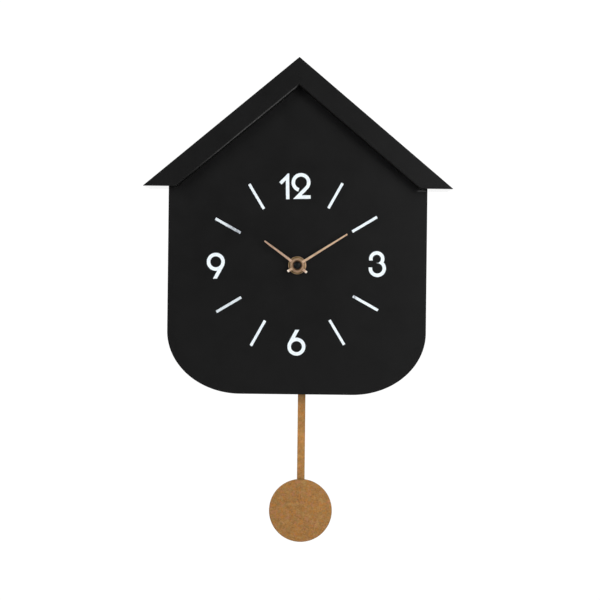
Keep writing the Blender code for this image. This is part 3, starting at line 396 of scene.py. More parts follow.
class Surface:
    """A node material on one Principled shader, with short calls that add nodes to it."""

    def __init__(self, name, roughness, metallic=0.0):
        self.material = bpy.data.materials.new(name)
        self.material.use_nodes = True
        self.tree = self.material.node_tree
        self.shader = self.tree.nodes["Principled BSDF"]
        self.shader.inputs["Roughness"].default_value = roughness
        self.shader.inputs["Metallic"].default_value = metallic
        self.position = self.node("ShaderNodeTexCoord").outputs["Object"]
        self.normal = None

    def node(self, kind):
        return self.tree.nodes.new(kind)

    def link(self, source, target):
        self.tree.links.new(source, target)

    def feed(self, socket, value):
        """Link an output, or set a plain value."""
        if isinstance(value, bpy.types.NodeSocket):
            self.link(value, socket)
        elif isinstance(value, tuple) and len(value) == 3 and socket.type == "RGBA":
            socket.default_value = (*value, 1.0)
        else:
            socket.default_value = value

    def scaled(self, size, stretch=(1.0, 1.0, 1.0)):
        """Position in units of this size, stretched by a share along each axis."""
        mapping = self.node("ShaderNodeMapping")
        mapping.inputs["Scale"].default_value = [1.0 / (size * share) for share in stretch]
        self.link(self.position, mapping.inputs["Vector"])
        return mapping.outputs["Vector"]

    def noise(self, size, detail=2.0, rough=0.5, stretch=(1.0, 1.0, 1.0), distortion=0.0):
        """Soft noise with features of about this size in metres, from 0 to 1."""
        noise = self.node("ShaderNodeTexNoise")
        noise.inputs["Scale"].default_value = 1.0
        noise.inputs["Detail"].default_value = detail
        noise.inputs["Roughness"].default_value = rough
        noise.inputs["Distortion"].default_value = distortion
        self.link(self.scaled(size, stretch), noise.inputs["Vector"])
        return noise.outputs["Fac"]

    def cells(self, size):
        """Distance from the middle of the nearest of scattered cells of this size."""
        cells = self.node("ShaderNodeTexVoronoi")
        cells.inputs["Scale"].default_value = 1.0
        self.link(self.scaled(size), cells.inputs["Vector"])
        return cells.outputs["Distance"]

    def spread(self, value, low, high, to_low=0.0, to_high=1.0):
        """Map a value from one range to another, clamped."""
        change = self.node("ShaderNodeMapRange")
        self.feed(change.inputs["Value"], value)
        change.inputs["From Min"].default_value = low
        change.inputs["From Max"].default_value = high
        self.feed(change.inputs["To Min"], to_low)
        self.feed(change.inputs["To Max"], to_high)
        return change.outputs["Result"]

    def band(self, value, low, high, soft):
        """1 between two values and 0 outside them, with soft ends."""
        rise = self.spread(value, low - soft, low + soft)
        return self.maths("MULTIPLY", rise, self.spread(value, high + soft, high - soft))

    def maths(self, operation, first, second=0.0):
        maths = self.node("ShaderNodeMath")
        maths.operation = operation
        self.feed(maths.inputs[0], first)
        self.feed(maths.inputs[1], second)
        return maths.outputs[0]

    def mix(self, factor, first, second, blend="MIX"):
        mix = self.node("ShaderNodeMix")
        mix.data_type = "RGBA"
        mix.blend_type = blend
        self.feed(mix.inputs["Factor"], factor)
        self.feed(mix.inputs[6], first)
        self.feed(mix.inputs[7], second)
        return mix.outputs[2]

    def axis(self, name):
        """One of the object coordinates: X, Y or Z, in metres."""
        parts = self.node("ShaderNodeSeparateXYZ")
        self.link(self.position, parts.inputs[0])
        return parts.outputs[name]

    def away_from_dial(self):
        """Distance from the hands' axis, in metres."""
        across = self.maths("SUBTRACT", self.axis("X"), DIAL[0])
        up = self.maths("SUBTRACT", self.axis("Z"), DIAL[1])
        square = self.maths("ADD", self.maths("MULTIPLY", across, across), self.maths("MULTIPLY", up, up))
        return self.maths("SQRT", square)

    def facing_down(self):
        """1 on level undersides, and 0 on slopes and upright faces."""
        geometry = self.node("ShaderNodeNewGeometry")
        parts = self.node("ShaderNodeSeparateXYZ")
        self.link(geometry.outputs["Normal"], parts.inputs[0])
        return self.spread(parts.outputs["Z"], -0.88, -0.97)

    def edges(self, radius, low=0.02, high=0.25):
        """About 1 on convex and concave edges, and 0 on flat stretches."""
        bevel = self.node("ShaderNodeBevel")
        bevel.samples = 4
        bevel.inputs["Radius"].default_value = radius
        geometry = self.node("ShaderNodeNewGeometry")
        dot = self.node("ShaderNodeVectorMath")
        dot.operation = "DOT_PRODUCT"
        self.link(bevel.outputs["Normal"], dot.inputs[0])
        self.link(geometry.outputs["Normal"], dot.inputs[1])
        return self.spread(self.maths("SUBTRACT", 1.0, dot.outputs["Value"]), low, high)

    def colour(self, value):
        self.feed(self.shader.inputs["Base Color"], value)

    def rough(self, value):
        self.feed(self.shader.inputs["Roughness"], value)

    def bump(self, height, depth):
        """Add relief of this depth in metres to the surface."""
        bump = self.node("ShaderNodeBump")
        bump.inputs["Distance"].default_value = depth
        self.feed(bump.inputs["Height"], height)
        if self.normal is not None:
            self.link(self.normal, bump.inputs["Normal"])
        self.normal = bump.outputs["Normal"]
        self.link(self.normal, self.shader.inputs["Normal"])


def black_paint(name, painted_highlight=None, smooth_ends=False):
    """Satin paint sprayed on fibreboard: faint orange peel, dust nibs, and edges painted paler, partly as
    thinner paint and partly as a painted highlight.

    The second argument gives the share of each point painted a paler grey as a painted highlight.
    With smooth_ends, level undersides are a sealed end grain with a smooth coat, which shines at a low angle.
    """
    paint = Surface(name, 0.40)
    cloud = paint.spread(paint.noise(0.060, 4.0, 0.6), 0.35, 0.68)
    colour = paint.mix(cloud, (0.0026, 0.0026, 0.0027), (0.0033, 0.0033, 0.0034))
    patchy = paint.spread(paint.noise(0.006, 3.0), 0.45, 0.70, 0.0, 0.5)
    # paler edges: partly thinner paint, partly a painted highlight along every edge
    thin = paint.maths("MULTIPLY", paint.edges(0.0007), patchy)
    off_ridge = paint.spread(paint.maths("ABSOLUTE", paint.axis("X")), 0.0012, 0.0020)
    colour = paint.mix(paint.maths("MULTIPLY", thin, off_ridge), colour, (0.012, 0.011, 0.010))
    nibs = paint.spread(paint.cells(0.0045), 0.045, 0.020)
    colour = paint.mix(paint.maths("MULTIPLY", nibs, 0.4), colour, (0.022, 0.022, 0.022))
    # painted highlight: a paler grey wherever the given mask asks for it
    if painted_highlight:
        uneven = paint.spread(paint.noise(0.005, 3.0), 0.30, 0.70, 0.75, 1.0)
        colour = paint.mix(paint.maths("MULTIPLY", painted_highlight(paint), uneven), colour, (0.078, 0.077, 0.077))
    paint.colour(colour)
    rough = paint.spread(paint.noise(0.020, 4.0, 0.6), 0.3, 0.7, 0.36, 0.42)
    peel = paint.noise(0.0011, 2.0)
    waves = paint.noise(0.0120, 2.0)
    if smooth_ends:
        sealed = paint.facing_down()
        paint.feed(paint.shader.inputs["Coat Weight"], sealed)
        paint.shader.inputs["Coat Roughness"].default_value = 0.06
        satin = paint.maths("SUBTRACT", 1.0, sealed)
        rough = paint.spread(satin, 0.0, 1.0, 0.10, rough)
        peel, waves, nibs = (paint.maths("MULTIPLY", relief, satin) for relief in (peel, waves, nibs))
    paint.rough(rough)
    paint.bump(peel, 0.00002)
    paint.bump(waves, 0.00005)
    paint.bump(nibs, 0.00003)
    paint.shader.inputs["Specular IOR Level"].default_value = 0.16
    return paint.material


def painted_highlight_shoulder(paint):
    """Painted highlight: a short pale line across the face's right shoulder, close under the eave."""
    low = BODY_HALF_WIDTH - 0.0090
    along = paint.band(paint.axis("X"), low, BODY_HALF_WIDTH, 0.0006)
    across = paint.band(paint.axis("Z"), EAVE_Z - 0.0017, EAVE_Z - 0.0010, 0.0002)
    return paint.maths("MULTIPLY", along, across)


def painted_highlight_soffit(paint):
    """Painted highlight on the left board's lower front edge, brightest near the ridge, standing in for light
    on its soffit.
    """
    x = paint.axis("X")
    rise = paint.maths("MULTIPLY", x, math.tan(ROOF_SLOPE))
    above = paint.maths("SUBTRACT", paint.maths("SUBTRACT", paint.axis("Z"), rise), SOFFIT_APEX_Z)
    near = paint.maths("MULTIPLY", paint.spread(above, 0.0011, 0.0007),
                       paint.spread(paint.axis("Y"), BOARD_LOW.y + 0.0050, BOARD_LOW.y + 0.0030))
    painted_light_fade = paint.spread(x, -0.100, -0.055, 0.05, 1.0)
    start = paint.spread(x, -0.0010, -0.0030)
    return paint.maths("MULTIPLY", paint.maths("MULTIPLY", near, painted_light_fade), start)


def white_enamel(name, thin=0.0, worn_low=None, worn_high=None, worn_to=(0.23, 0.25, 0.30)):
    """White printed relief. thin lets the black through evenly, from 0 to 1.

    Between the X positions worn_low and worn_high the coat wears through in patches to worn_to.
    """
    enamel = Surface(name, 0.42)
    cloud = enamel.spread(enamel.noise(0.0025, 3.0), 0.35, 0.70)
    colour = enamel.mix(cloud, (0.75, 0.82, 0.87), (0.85, 0.91, 0.94))
    colour = enamel.mix(thin, colour, (0.05, 0.08, 0.11))
    if worn_low is not None:
        along = enamel.spread(enamel.axis("X"), worn_low, worn_high)
        patches = enamel.spread(enamel.noise(0.0016, 3.0, 0.6), 0.36, 0.52)
        worn = enamel.maths("MULTIPLY", along, patches)
        colour = enamel.mix(worn, colour, worn_to)
    enamel.colour(colour)
    enamel.rough(enamel.spread(enamel.noise(0.0012, 2.0), 0.3, 0.7, 0.36, 0.50))
    enamel.bump(enamel.noise(0.0006, 2.0), 0.00001)
    return enamel.material


def rose_gold(name, turn, hub, tail, dark, light):
    """Satin anodised hand metal, brushed along the hand, which points at the clock angle turn.

    The hub is painted darker than the blade as painted shade, darkest about its eyelet's recess, and the
    tail's end carries a pale painted highlight.
    """
    metal = Surface(name, 0.34, 1.0)
    out = metal.away_from_dial()
    below = metal.spread(metal.axis("Z"), DIAL[1], DIAL[1] - 0.0004)
    turned = metal.node("ShaderNodeVectorRotate")
    turned.rotation_type = "Y_AXIS"
    turned.inputs["Angle"].default_value = -turn
    metal.link(metal.position, turned.inputs["Vector"])
    metal.position = turned.outputs["Vector"]
    fine = metal.noise(0.00012, 2.0, 0.5, (1.0, 1.0, 60.0))
    cloud = metal.spread(metal.noise(0.0035, 3.0), 0.35, 0.65)
    colour = metal.mix(cloud, dark, light)
    colour = metal.mix(metal.maths("MULTIPLY", metal.spread(fine, 0.3, 0.7), 0.5), colour, (0.90, 0.66, 0.48))
    # painted shade over the hub
    hub_shade = metal.maths("MULTIPLY", metal.spread(out, hub, hub - 0.0003),
                       metal.spread(metal.noise(0.0030, 2.0), 0.30, 0.70, 0.62, 1.0))
    colour = metal.mix(hub_shade, colour, (0.45, 0.280, 0.160))
    # painted shade in the eyelet's recess
    colour = metal.mix(metal.spread(out, 0.0045, 0.0043), colour, (0.17, 0.095, 0.058))
    # painted highlight: the tail's end is painted pale and less metallic
    painted_highlight = metal.maths("MULTIPLY", below, metal.spread(out, tail - 0.0021, tail - 0.0007))
    metal.colour(metal.mix(painted_highlight, colour, (0.94, 0.82, 0.71)))
    metal.feed(metal.shader.inputs["Metallic"], metal.spread(painted_highlight, 0.0, 1.0, 1.0, 0.25))
    metal.rough(metal.spread(fine, 0.3, 0.7, 0.28, 0.42))
    metal.bump(fine, 0.000004)
    return metal.material


def gold_paint(name, painted_light_fade=None):
    """Metallic gold paint, grainy at about a millimetre, with olive, pink and orange specks.

    On the rod, painted shade and light change the brightness along Z, listed as (z, brightness) from the top
    down, and its edges are darkened as painted shade.
    """
    gold = Surface(name, 0.46, 0.50)
    base = gold.mix(gold.spread(gold.noise(0.0090, 3.0, 0.6), 0.38, 0.62),
                    (0.235, 0.107, 0.024), (0.310, 0.147, 0.037))
    grain = gold.spread(gold.noise(0.0015, 3.0, 0.75), 0.38, 0.62)
    base = gold.mix(gold.maths("MULTIPLY", grain, 0.60), base, (0.425, 0.218, 0.060))
    dips = gold.spread(gold.noise(0.0013, 2.0, 0.6, (1.1, 1.0, 0.9)), 0.50, 0.64)
    base = gold.mix(gold.maths("MULTIPLY", dips, 0.50), base, (0.190, 0.080, 0.018))
    for size, low, tint in (
        (0.0034, 0.50, (0.275, 0.185, 0.060)),
        (0.0030, 0.53, (0.42, 0.170, 0.090)),
        (0.0026, 0.52, (0.46, 0.165, 0.014)),
        (0.0044, 0.54, (0.42, 0.245, 0.080)),
    ):
        specks = gold.noise(size, 3.0, 0.65, (1.0 + 20.0 * size, 1.0, 1.0), 0.3)
        patch = gold.spread(specks, low, low + 0.09)
        base = gold.mix(gold.maths("MULTIPLY", patch, 0.45), base, tint)
    if painted_light_fade:
        # painted shade and light along the rod
        level = gold.axis("Z")
        steps = [gold.spread(level, upper, lower, upper_share, lower_share)
                 for (upper, upper_share), (lower, lower_share) in zip(painted_light_fade, painted_light_fade[1:])]
        shade = steps[0]
        for step, (_, upper_share) in zip(steps[1:], painted_light_fade[1:]):
            shade = gold.maths("MULTIPLY", shade, gold.maths("DIVIDE", step, upper_share))
        grey = gold.node("ShaderNodeCombineColor")
        for socket in grey.inputs:
            gold.link(shade, socket)
        base = gold.mix(1.0, base, grey.outputs[0], "MULTIPLY")
        # painted shade on the rod's edges
        thin = gold.maths("MULTIPLY", gold.edges(0.0010, 0.01, 0.20), 0.6)
        base = gold.mix(thin, base, (0.15, 0.115, 0.060))
    gold.colour(base)
    gold.rough(gold.spread(gold.noise(0.0008, 2.0), 0.3, 0.7, 0.38, 0.56))
    gold.bump(gold.noise(0.00050, 3.0), 0.00002)
    gold.bump(gold.noise(0.0040, 2.0), 0.00004)
    return gold.material


def washer_brass(name, rim):
    """Dull brass disc with a pinkish, uneven rim band, partly rubbed wear and partly a painted highlight, and
    pinkish painted light on its right side.
    """
    brass = Surface(name, 0.40, 1.0)
    out = brass.away_from_dial()
    cloud = brass.spread(brass.noise(0.0025, 3.0), 0.35, 0.65)
    colour = brass.mix(cloud, (0.12, 0.080, 0.028), (0.26, 0.185, 0.072))
    patch = brass.spread(brass.noise(0.0035, 2.0), 0.35, 0.65, 0.35, 1.0)
    # rim band: partly rubbed wear, partly a painted highlight
    band = brass.maths("MULTIPLY", brass.spread(out, rim - 0.0009, rim - 0.0005), patch)
    colour = brass.mix(band, colour, (0.42, 0.28, 0.18))
    # painted light: the right side is painted pinker and brighter
    right = brass.spread(brass.axis("X"), DIAL[0] + 0.0035, DIAL[0] + 0.0060)
    brass.colour(brass.mix(brass.maths("MULTIPLY", right, 0.6), colour, (0.46, 0.29, 0.19)))
    brass.rough(brass.spread(brass.noise(0.0004, 2.0), 0.3, 0.7, 0.32, 0.46))
    brass.bump(brass.noise(0.0004, 2.0), 0.000006)
    return brass.material


def plain_metal(name, dark, light, roughness, size=0.0020, metallic=1.0):
    """Plain metal with faint clouding and fine scratches."""
    plain = Surface(name, roughness, metallic)
    scratches = plain.noise(0.00015, 2.0, 0.5, (1.0, 8.0, 12.0))
    colour = plain.mix(plain.spread(plain.noise(size, 3.0), 0.35, 0.65), dark, light)
    plain.colour(colour)
    plain.rough(plain.spread(scratches, 0.3, 0.7, roughness - 0.07, roughness + 0.08))
    plain.bump(scratches, 0.000004)
    return plain.material


def plastic(name, dark, light, roughness, grain=0.0005, depth=0.00001):
    """Moulded plastic with a fine texture, slight flow marks and a painted highlight on its edges."""
    moulded = Surface(name, roughness)
    colour = moulded.mix(moulded.spread(moulded.noise(0.010, 3.0), 0.35, 0.65), dark, light)
    # paler edges and corners: a painted highlight
    moulded.colour(moulded.mix(moulded.edges(0.0003), colour, tuple(min(2.0 * c + 0.01, 0.9) for c in light)))
    moulded.rough(moulded.spread(moulded.noise(0.004, 3.0), 0.3, 0.7, roughness - 0.06, roughness + 0.08))
    moulded.bump(moulded.noise(grain, 2.0), depth)
    return moulded.material


PAINT = black_paint("black_satin_paint")
# the face and the left board carry painted highlights
FACE_PAINT = black_paint("black_satin_paint_face", painted_highlight_shoulder)
LEFT_PAINT = black_paint("black_satin_paint_left_board", painted_highlight_soffit, smooth_ends=True)
RIGHT_PAINT = black_paint("black_satin_paint_right_board", smooth_ends=True)
ENAMEL = white_enamel("white_enamel")
GOLD = gold_paint("mottled_gold_paint")
BRASS = plain_metal("dull_brass", (0.20, 0.13, 0.050), (0.33, 0.22, 0.090), 0.40)
STEEL = plain_metal("zinc_plated_steel", (0.46, 0.47, 0.48), (0.66, 0.66, 0.64), 0.34)
BLACK_PLASTIC = plastic("black_moulded_plastic", (0.010, 0.010, 0.011), (0.020, 0.020, 0.021), 0.46)
CAP_PLASTIC = plastic("polished_black_plastic", (0.0030, 0.0035, 0.0036), (0.0050, 0.0056, 0.0056), 0.30)
CAP_PLASTIC.node_tree.nodes["Principled BSDF"].inputs["Specular IOR Level"].default_value = 0.12
GEAR_PLASTIC = plastic("natural_acetal", (0.66, 0.65, 0.60), (0.78, 0.77, 0.72), 0.36)
RUBBER = plastic("matt_rubber", (0.014, 0.014, 0.014), (0.026, 0.026, 0.025), 0.80, 0.0004, 0.00003)
FERRITE = plain_metal("grey_ferrite", (0.10, 0.10, 0.11), (0.17, 0.17, 0.18), 0.50, 0.0008, 0.8)


def copper_winding(name, along_x):
    """Enamelled wire wound in fine turns about the bobbin's axis."""
    copper = Surface(name, 0.34, 1.0)
    wave = copper.node("ShaderNodeTexWave")
    wave.bands_direction = "X" if along_x else "Y"
    wave.inputs["Scale"].default_value = 20.0
    wave.inputs["Distortion"].default_value = 0.6
    copper.link(copper.scaled(0.004), wave.inputs["Vector"])
    copper.colour(copper.mix(wave.outputs["Fac"], (0.30, 0.09, 0.035), (0.72, 0.29, 0.12)))
    copper.bump(wave.outputs["Fac"], 0.00006)
    return copper.material


def circuit_board(name):
    """Green solder mask with straight copper tracks under it."""
    board = Surface(name, 0.42)
    brick = board.node("ShaderNodeTexBrick")
    brick.inputs["Scale"].default_value = 1.0
    brick.inputs["Mortar Size"].default_value = 0.06
    board.link(board.scaled(0.006), brick.inputs["Vector"])
    cloud = board.spread(board.noise(0.004, 3.0), 0.4, 0.6)
    colour = board.mix(cloud, (0.015, 0.09, 0.030), (0.03, 0.14, 0.05))
    board.colour(board.mix(brick.outputs["Fac"], colour, (0.08, 0.26, 0.09)))
    board.bump(brick.outputs["Fac"], 0.00003)
    return board.material


def battery_jacket(name, end):
    """Printed film sleeve in plain dark blue with a pale band, and bare steel past its ends."""
    jacket = Surface(name, 0.28, 0.35)
    along = jacket.axis("X")
    cloud = jacket.spread(jacket.noise(0.003, 3.0), 0.3, 0.7)
    blue = jacket.mix(cloud, (0.012, 0.045, 0.14), (0.02, 0.07, 0.20))
    band = jacket.band(along, 0.0129, 0.0181, 0.0001)
    colour = jacket.mix(band, blue, (0.55, 0.57, 0.60))
    bare = jacket.spread(jacket.maths("ABSOLUTE", along), end - 0.0008, end - 0.0006)
    jacket.colour(jacket.mix(bare, colour, (0.62, 0.62, 0.60)))
    jacket.feed(jacket.shader.inputs["Metallic"], jacket.spread(bare, 0.0, 1.0, 0.35, 1.0))
    jacket.rough(jacket.spread(jacket.noise(0.0015, 3.0), 0.3, 0.7, 0.22, 0.36))
    jacket.bump(jacket.noise(0.0030, 2.0), 0.00002)
    return jacket.material


# ---------------------------------------------------------------- case

def soffit_z(x):
    return max(SOFFIT_APEX_Z - abs(x) * math.tan(ROOF_SLOPE), EAVE_Z)


def bottom_corner(inset):
    """Right-hand bottom corner, from the side down to the bottom edge."""
    return arc((CORNER_X, CORNER_Z), CORNER_RX - inset, CORNER_RZ - inset, math.pi / 2, math.pi, 48)


def build_case():
    top = [(0.0, soffit_z(0.0) - SEAM), (EAVE_INNER_X, EAVE_Z - SEAM), (BODY_HALF_WIDTH, EAVE_Z - SEAM)]
    right = top + bottom_corner(0.0)
    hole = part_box("threaded_bushing")[1].x + GAP
    face = plate("face_panel_painted", [right + mirrored(right[1:]), circle(hole, 48, DIAL)],
                 PANEL_LOW.y, PANEL_HIGH.y)
    place(soften(face, FACE_EDGE), FACE_PAINT, "case", "case_paint", "face_panel")

    inner_x = BODY_HALF_WIDTH - WALL
    wall = [
        (BODY_HALF_WIDTH, CORNER_Z),
        (BODY_HALF_WIDTH, EAVE_Z - SEAM),
        (EAVE_INNER_X, EAVE_Z - SEAM),
        (inner_x, soffit_z(inner_x) - SEAM),
        (inner_x, CORNER_Z),
    ]
    front = PANEL_HIGH.y + SEAM
    for side, outline in (("right", wall), ("left", mirrored(wall))):
        piece = plate("side_wall_%s_painted" % side, [outline], front, 0.0)
        place(soften(piece, WALL_EDGE), PAINT, "case", "case_paint", "side_wall_" + side)

    middle = (ROD_LOW.x + ROD_HIGH.x) / 2
    outer = bottom_corner(0.0)
    inner = bottom_corner(WALL)
    ring = outer + mirrored(outer)
    rail = [(x, min(z, CORNER_Z - SEAM)) for x, z in ring]
    rail += [(x, min(z, CORNER_Z - SEAM)) for x, z in (inner + mirrored(inner))[::-1]]
    bottom = plate("bottom_wall_painted", [rail], front, 0.0)
    slot = rectangle(middle - SLOT_HALF_WIDTH, middle + SLOT_HALF_WIDTH,
                     BODY_BOTTOM_Z - WALL, BODY_BOTTOM_Z + 2 * WALL)
    bottom = cut_away(bottom, plate("pendulum_slot_cutter", [slot], SLOT_FRONT, WALL))
    place(soften(bottom, WALL_EDGE), PAINT, "case", "case_paint", "bottom_wall")


def build_roof():
    for side, sign in (("right", 1.0), ("left", -1.0)):
        outline = [
            (SEAM / 2, APEX_Z),
            (ROOF_HALF_WIDTH, EAVE_Z),
            (EAVE_INNER_X, EAVE_Z),
            (SEAM / 2, SOFFIT_APEX_Z),
        ]
        loop = [(sign * x, z) for x, z in outline]
        board = plate("roof_board_%s_painted" % side, [loop], BOARD_LOW.y, BOARD_HIGH.y)
        shape = bmesh.new()
        shape.from_mesh(board.data)
        weight = shape.edges.layers.float.new("bevel_weight_edge")
        for edge in shape.edges:
            at_ridge = all(abs(vertex.co.x) < GAP for vertex in edge.verts)
            at_soffit = all(vertex.co.z < soffit_z(vertex.co.x) + GAP and vertex.co.y < BOARD_LOW.y + GAP
                            for vertex in edge.verts)
            sharp = not at_ridge and edge.calc_face_angle(0.0) > SMOOTH_ANGLE
            edge[weight] = (1.0 if at_soffit else BOARD_EDGE / SOFFIT_EDGE) if sharp else 0.0
        shape.to_mesh(board.data)
        shape.free()
        bevel = soften(board, SOFFIT_EDGE, 4).modifiers["edges"]
        bevel.limit_method = "WEIGHT"
        paint = LEFT_PAINT if side == "left" else RIGHT_PAINT
        place(board, paint, "case", "case_paint", "roof_board_" + side)


def build_hanger():
    refine("hanging_block", PAINT, 0.0005)
    refine("hanger_plate", STEEL, 0.00015)
    for name in ("hanger_screw_upper", "hanger_screw_lower"):
        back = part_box(name)[1].y
        bar = rectangle(-RECESS_HALF_LENGTH, RECESS_HALF_LENGTH, -RECESS_HALF_WIDTH, RECESS_HALF_WIDTH)
        cutters = [
            plate(name + "_recess", [bar], back - RECESS_DEPTH, back + CUT_PAST, centre_of(name),
                  math.radians(degrees))
            for degrees in (RECESS_DEGREES, RECESS_DEGREES + 90.0)
        ]
        screw = carved(name, name + "_cross", cutters)
        place(soften(screw, 0.0), STEEL, "case", "steel", name)


# ---------------------------------------------------------------- dial and hands

def build_dial():
    ten_middle = sum(corner.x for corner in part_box("hour_bar_10")) / 2
    four_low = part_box("hour_bar_04")[0]
    worn = {
        "hour_bar_10": white_enamel("white_enamel_half_worn", 0.12, ten_middle - 0.002, ten_middle + 0.003,
                                    (0.34, 0.37, 0.41)),
        "hour_bar_08": white_enamel("white_enamel_thin", 0.20),
        "hour_bar_04": white_enamel("white_enamel_end_worn", 0.0, four_low.x + 0.0045, four_low.x + 0.0015),
    }
    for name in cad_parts:
        if name.startswith("numeral_") or name.startswith("hour_bar_"):
            refine(name, worn.get(name, ENAMEL))


def hand_outline(hub, tip, tail):
    """Hub circle with a tapering blade up and a short square tail down."""
    lean = math.asin(HAND_ROOT_WIDTH / 2 / hub)
    outline = [(-HAND_TIP_WIDTH / 2, tip), (HAND_TIP_WIDTH / 2, tip)]
    outline += arc((0.0, 0.0), hub, hub, lean, math.pi - lean, 40)
    outline += [(HAND_ROOT_WIDTH / 2, -tail), (-HAND_ROOT_WIDTH / 2, -tail)]
    outline += arc((0.0, 0.0), hub, hub, math.pi + lean, 2 * math.pi - lean, 40)
    return outline


def build_hands():
    hour_low, hour_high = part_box("hour_hand")
    minute_low, minute_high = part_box("minute_hand")
    hour_metal = rose_gold("rose_gold_hour", HOUR_TURN, HOUR_HUB_R, HOUR_TAIL,
                           (0.70, 0.45, 0.31), (0.80, 0.56, 0.41))
    minute_metal = rose_gold("rose_gold_minute", MINUTE_TURN, MINUTE_HUB_R, MINUTE_TAIL,
                             (0.78, 0.52, 0.33), (0.90, 0.64, 0.43))
    hour_loops = [hand_outline(HOUR_HUB_R, HOUR_TIP, HOUR_TAIL), circle(HOUR_BORE_R, 48)]
    hour = plate("hour_hand_brushed", hour_loops, hour_low.y, hour_high.y, DIAL, HOUR_TURN)
    place(soften(hour, HAND_EDGE, 2), hour_metal, "hour_arbor", "hand_metal", "hour_hand")
    minute_loops = [hand_outline(MINUTE_HUB_R, MINUTE_TIP, MINUTE_TAIL), circle(EYELET_R, 48)]
    minute = plate("minute_hand_brushed", minute_loops, minute_low.y, minute_high.y, DIAL, MINUTE_TURN)
    place(soften(minute, HAND_EDGE, 2), minute_metal, "minute_arbor", "hand_metal", "minute_hand")
    front = minute_low.y
    collet = [
        (EYELET_R, front - 0.00010),
        (0.0043, front - 0.00015),
        (0.0046, front - 0.00035),
        (COLLET_R, front - 0.00015),
        (COLLET_R, front + COLLET_BACK),
        (COLLET_BORE_R, front + COLLET_BACK),
        (COLLET_BORE_R, front + 0.00020),
        (0.0033, front + 0.00010),
    ]
    hub = round_rows("minute_hand_eyelet", collet, DIAL)
    place(soften(hub, 0.00005, 2), minute_metal, "minute_arbor", "hand_metal", "minute_hand")

    cap_low, cap_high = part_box("hand_cap")
    radius = (cap_high.x - cap_low.x) / 2
    height = cap_high.y - cap_low.y
    dome = height * CAP_DOME
    rows = [(CAP_DOT_R, cap_low.y)]
    for x, z in arc((0.0, 0.0), radius, dome, math.radians(8.0), math.pi / 2, 10):
        rows.append((x, cap_low.y + dome - z))
    rows += [(radius, cap_high.y), (CAP_DOT_R, cap_high.y)]
    cap = round_rows("hand_cap_domed", rows, DIAL, closed=False)
    place(soften(cap, 0.0), CAP_PLASTIC, "minute_arbor", "black_plastic", "hand_cap")


def build_handset():
    washer_low, washer_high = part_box("dial_washer")
    outer = (washer_high.x - washer_low.x) / 2
    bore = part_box("threaded_bushing")[1].x - DIAL[0] + GAP
    washer = round_rows("dial_washer_pressed", [
        (bore, washer_low.y + 0.00010),
        (bore + 0.00020, washer_low.y),
        (outer - 0.00060, washer_low.y),
        (outer - 0.00020, washer_low.y + 0.00015),
        (outer, washer_low.y + 0.00050),
        (outer, washer_high.y),
        (bore, washer_high.y),
    ], DIAL, 128)
    place(soften(washer, 0.00006, 2), washer_brass("washer_brass", outer), "case", "brass", "dial_washer")

    nut_low, nut_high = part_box("hex_nut")
    corner = max(nut_high.x - DIAL[0], nut_high.z - DIAL[1])
    flat = corner * math.cos(math.pi / 6)

    def hexagon(angle):
        return flat / math.cos((angle % (math.pi / 3)) - math.pi / 6)

    def front_edge(angle):
        radius = hexagon(angle)
        return (radius, nut_low.y + NUT_CHAMFER + (radius - flat) * NUT_CHAMFER_SLOPE)

    def back_edge(angle):
        radius = hexagon(angle)
        return (radius, nut_high.y - NUT_CHAMFER - (radius - flat) * NUT_CHAMFER_SLOPE)

    nut = round_rows("hex_nut_chamfered", [
        (bore, nut_low.y + 0.00030),
        (bore + 0.00030, nut_low.y),
        (flat - NUT_CHAMFER, nut_low.y),
        front_edge,
        back_edge,
        (flat - NUT_CHAMFER, nut_high.y),
        (bore, nut_high.y),
    ], DIAL, 120)
    place(soften(nut, 0.0), BRASS, "case", "brass", "hex_nut")

    tube_low, tube_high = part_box("threaded_bushing")
    crest = bore - GAP
    flange = (tube_high.x - tube_low.x) / 2
    flange_front = tube_high.y - FLANGE_THICKNESS
    rows = [(BUSHING_BORE_R, tube_low.y), (crest - 0.0004, tube_low.y)]
    for i in range(int((nut_low.y - tube_low.y) / THREAD_PITCH)):
        y = tube_low.y + 0.0002 + i * THREAD_PITCH
        rows += [(crest, y), (crest - THREAD_DEPTH, y + THREAD_PITCH / 2)]
    rows += [
        (crest, nut_low.y),
        (crest, PANEL_HIGH.y + 0.002),
        (crest, flange_front),
        (flange, flange_front),
        (flange, tube_high.y),
        (BUSHING_BORE_R, tube_high.y),
    ]
    bushing = round_rows("threaded_bushing_cut", rows, DIAL)
    place(soften(bushing, 0.0), BRASS, "case", "brass", "threaded_bushing")


# ---------------------------------------------------------------- pendulum

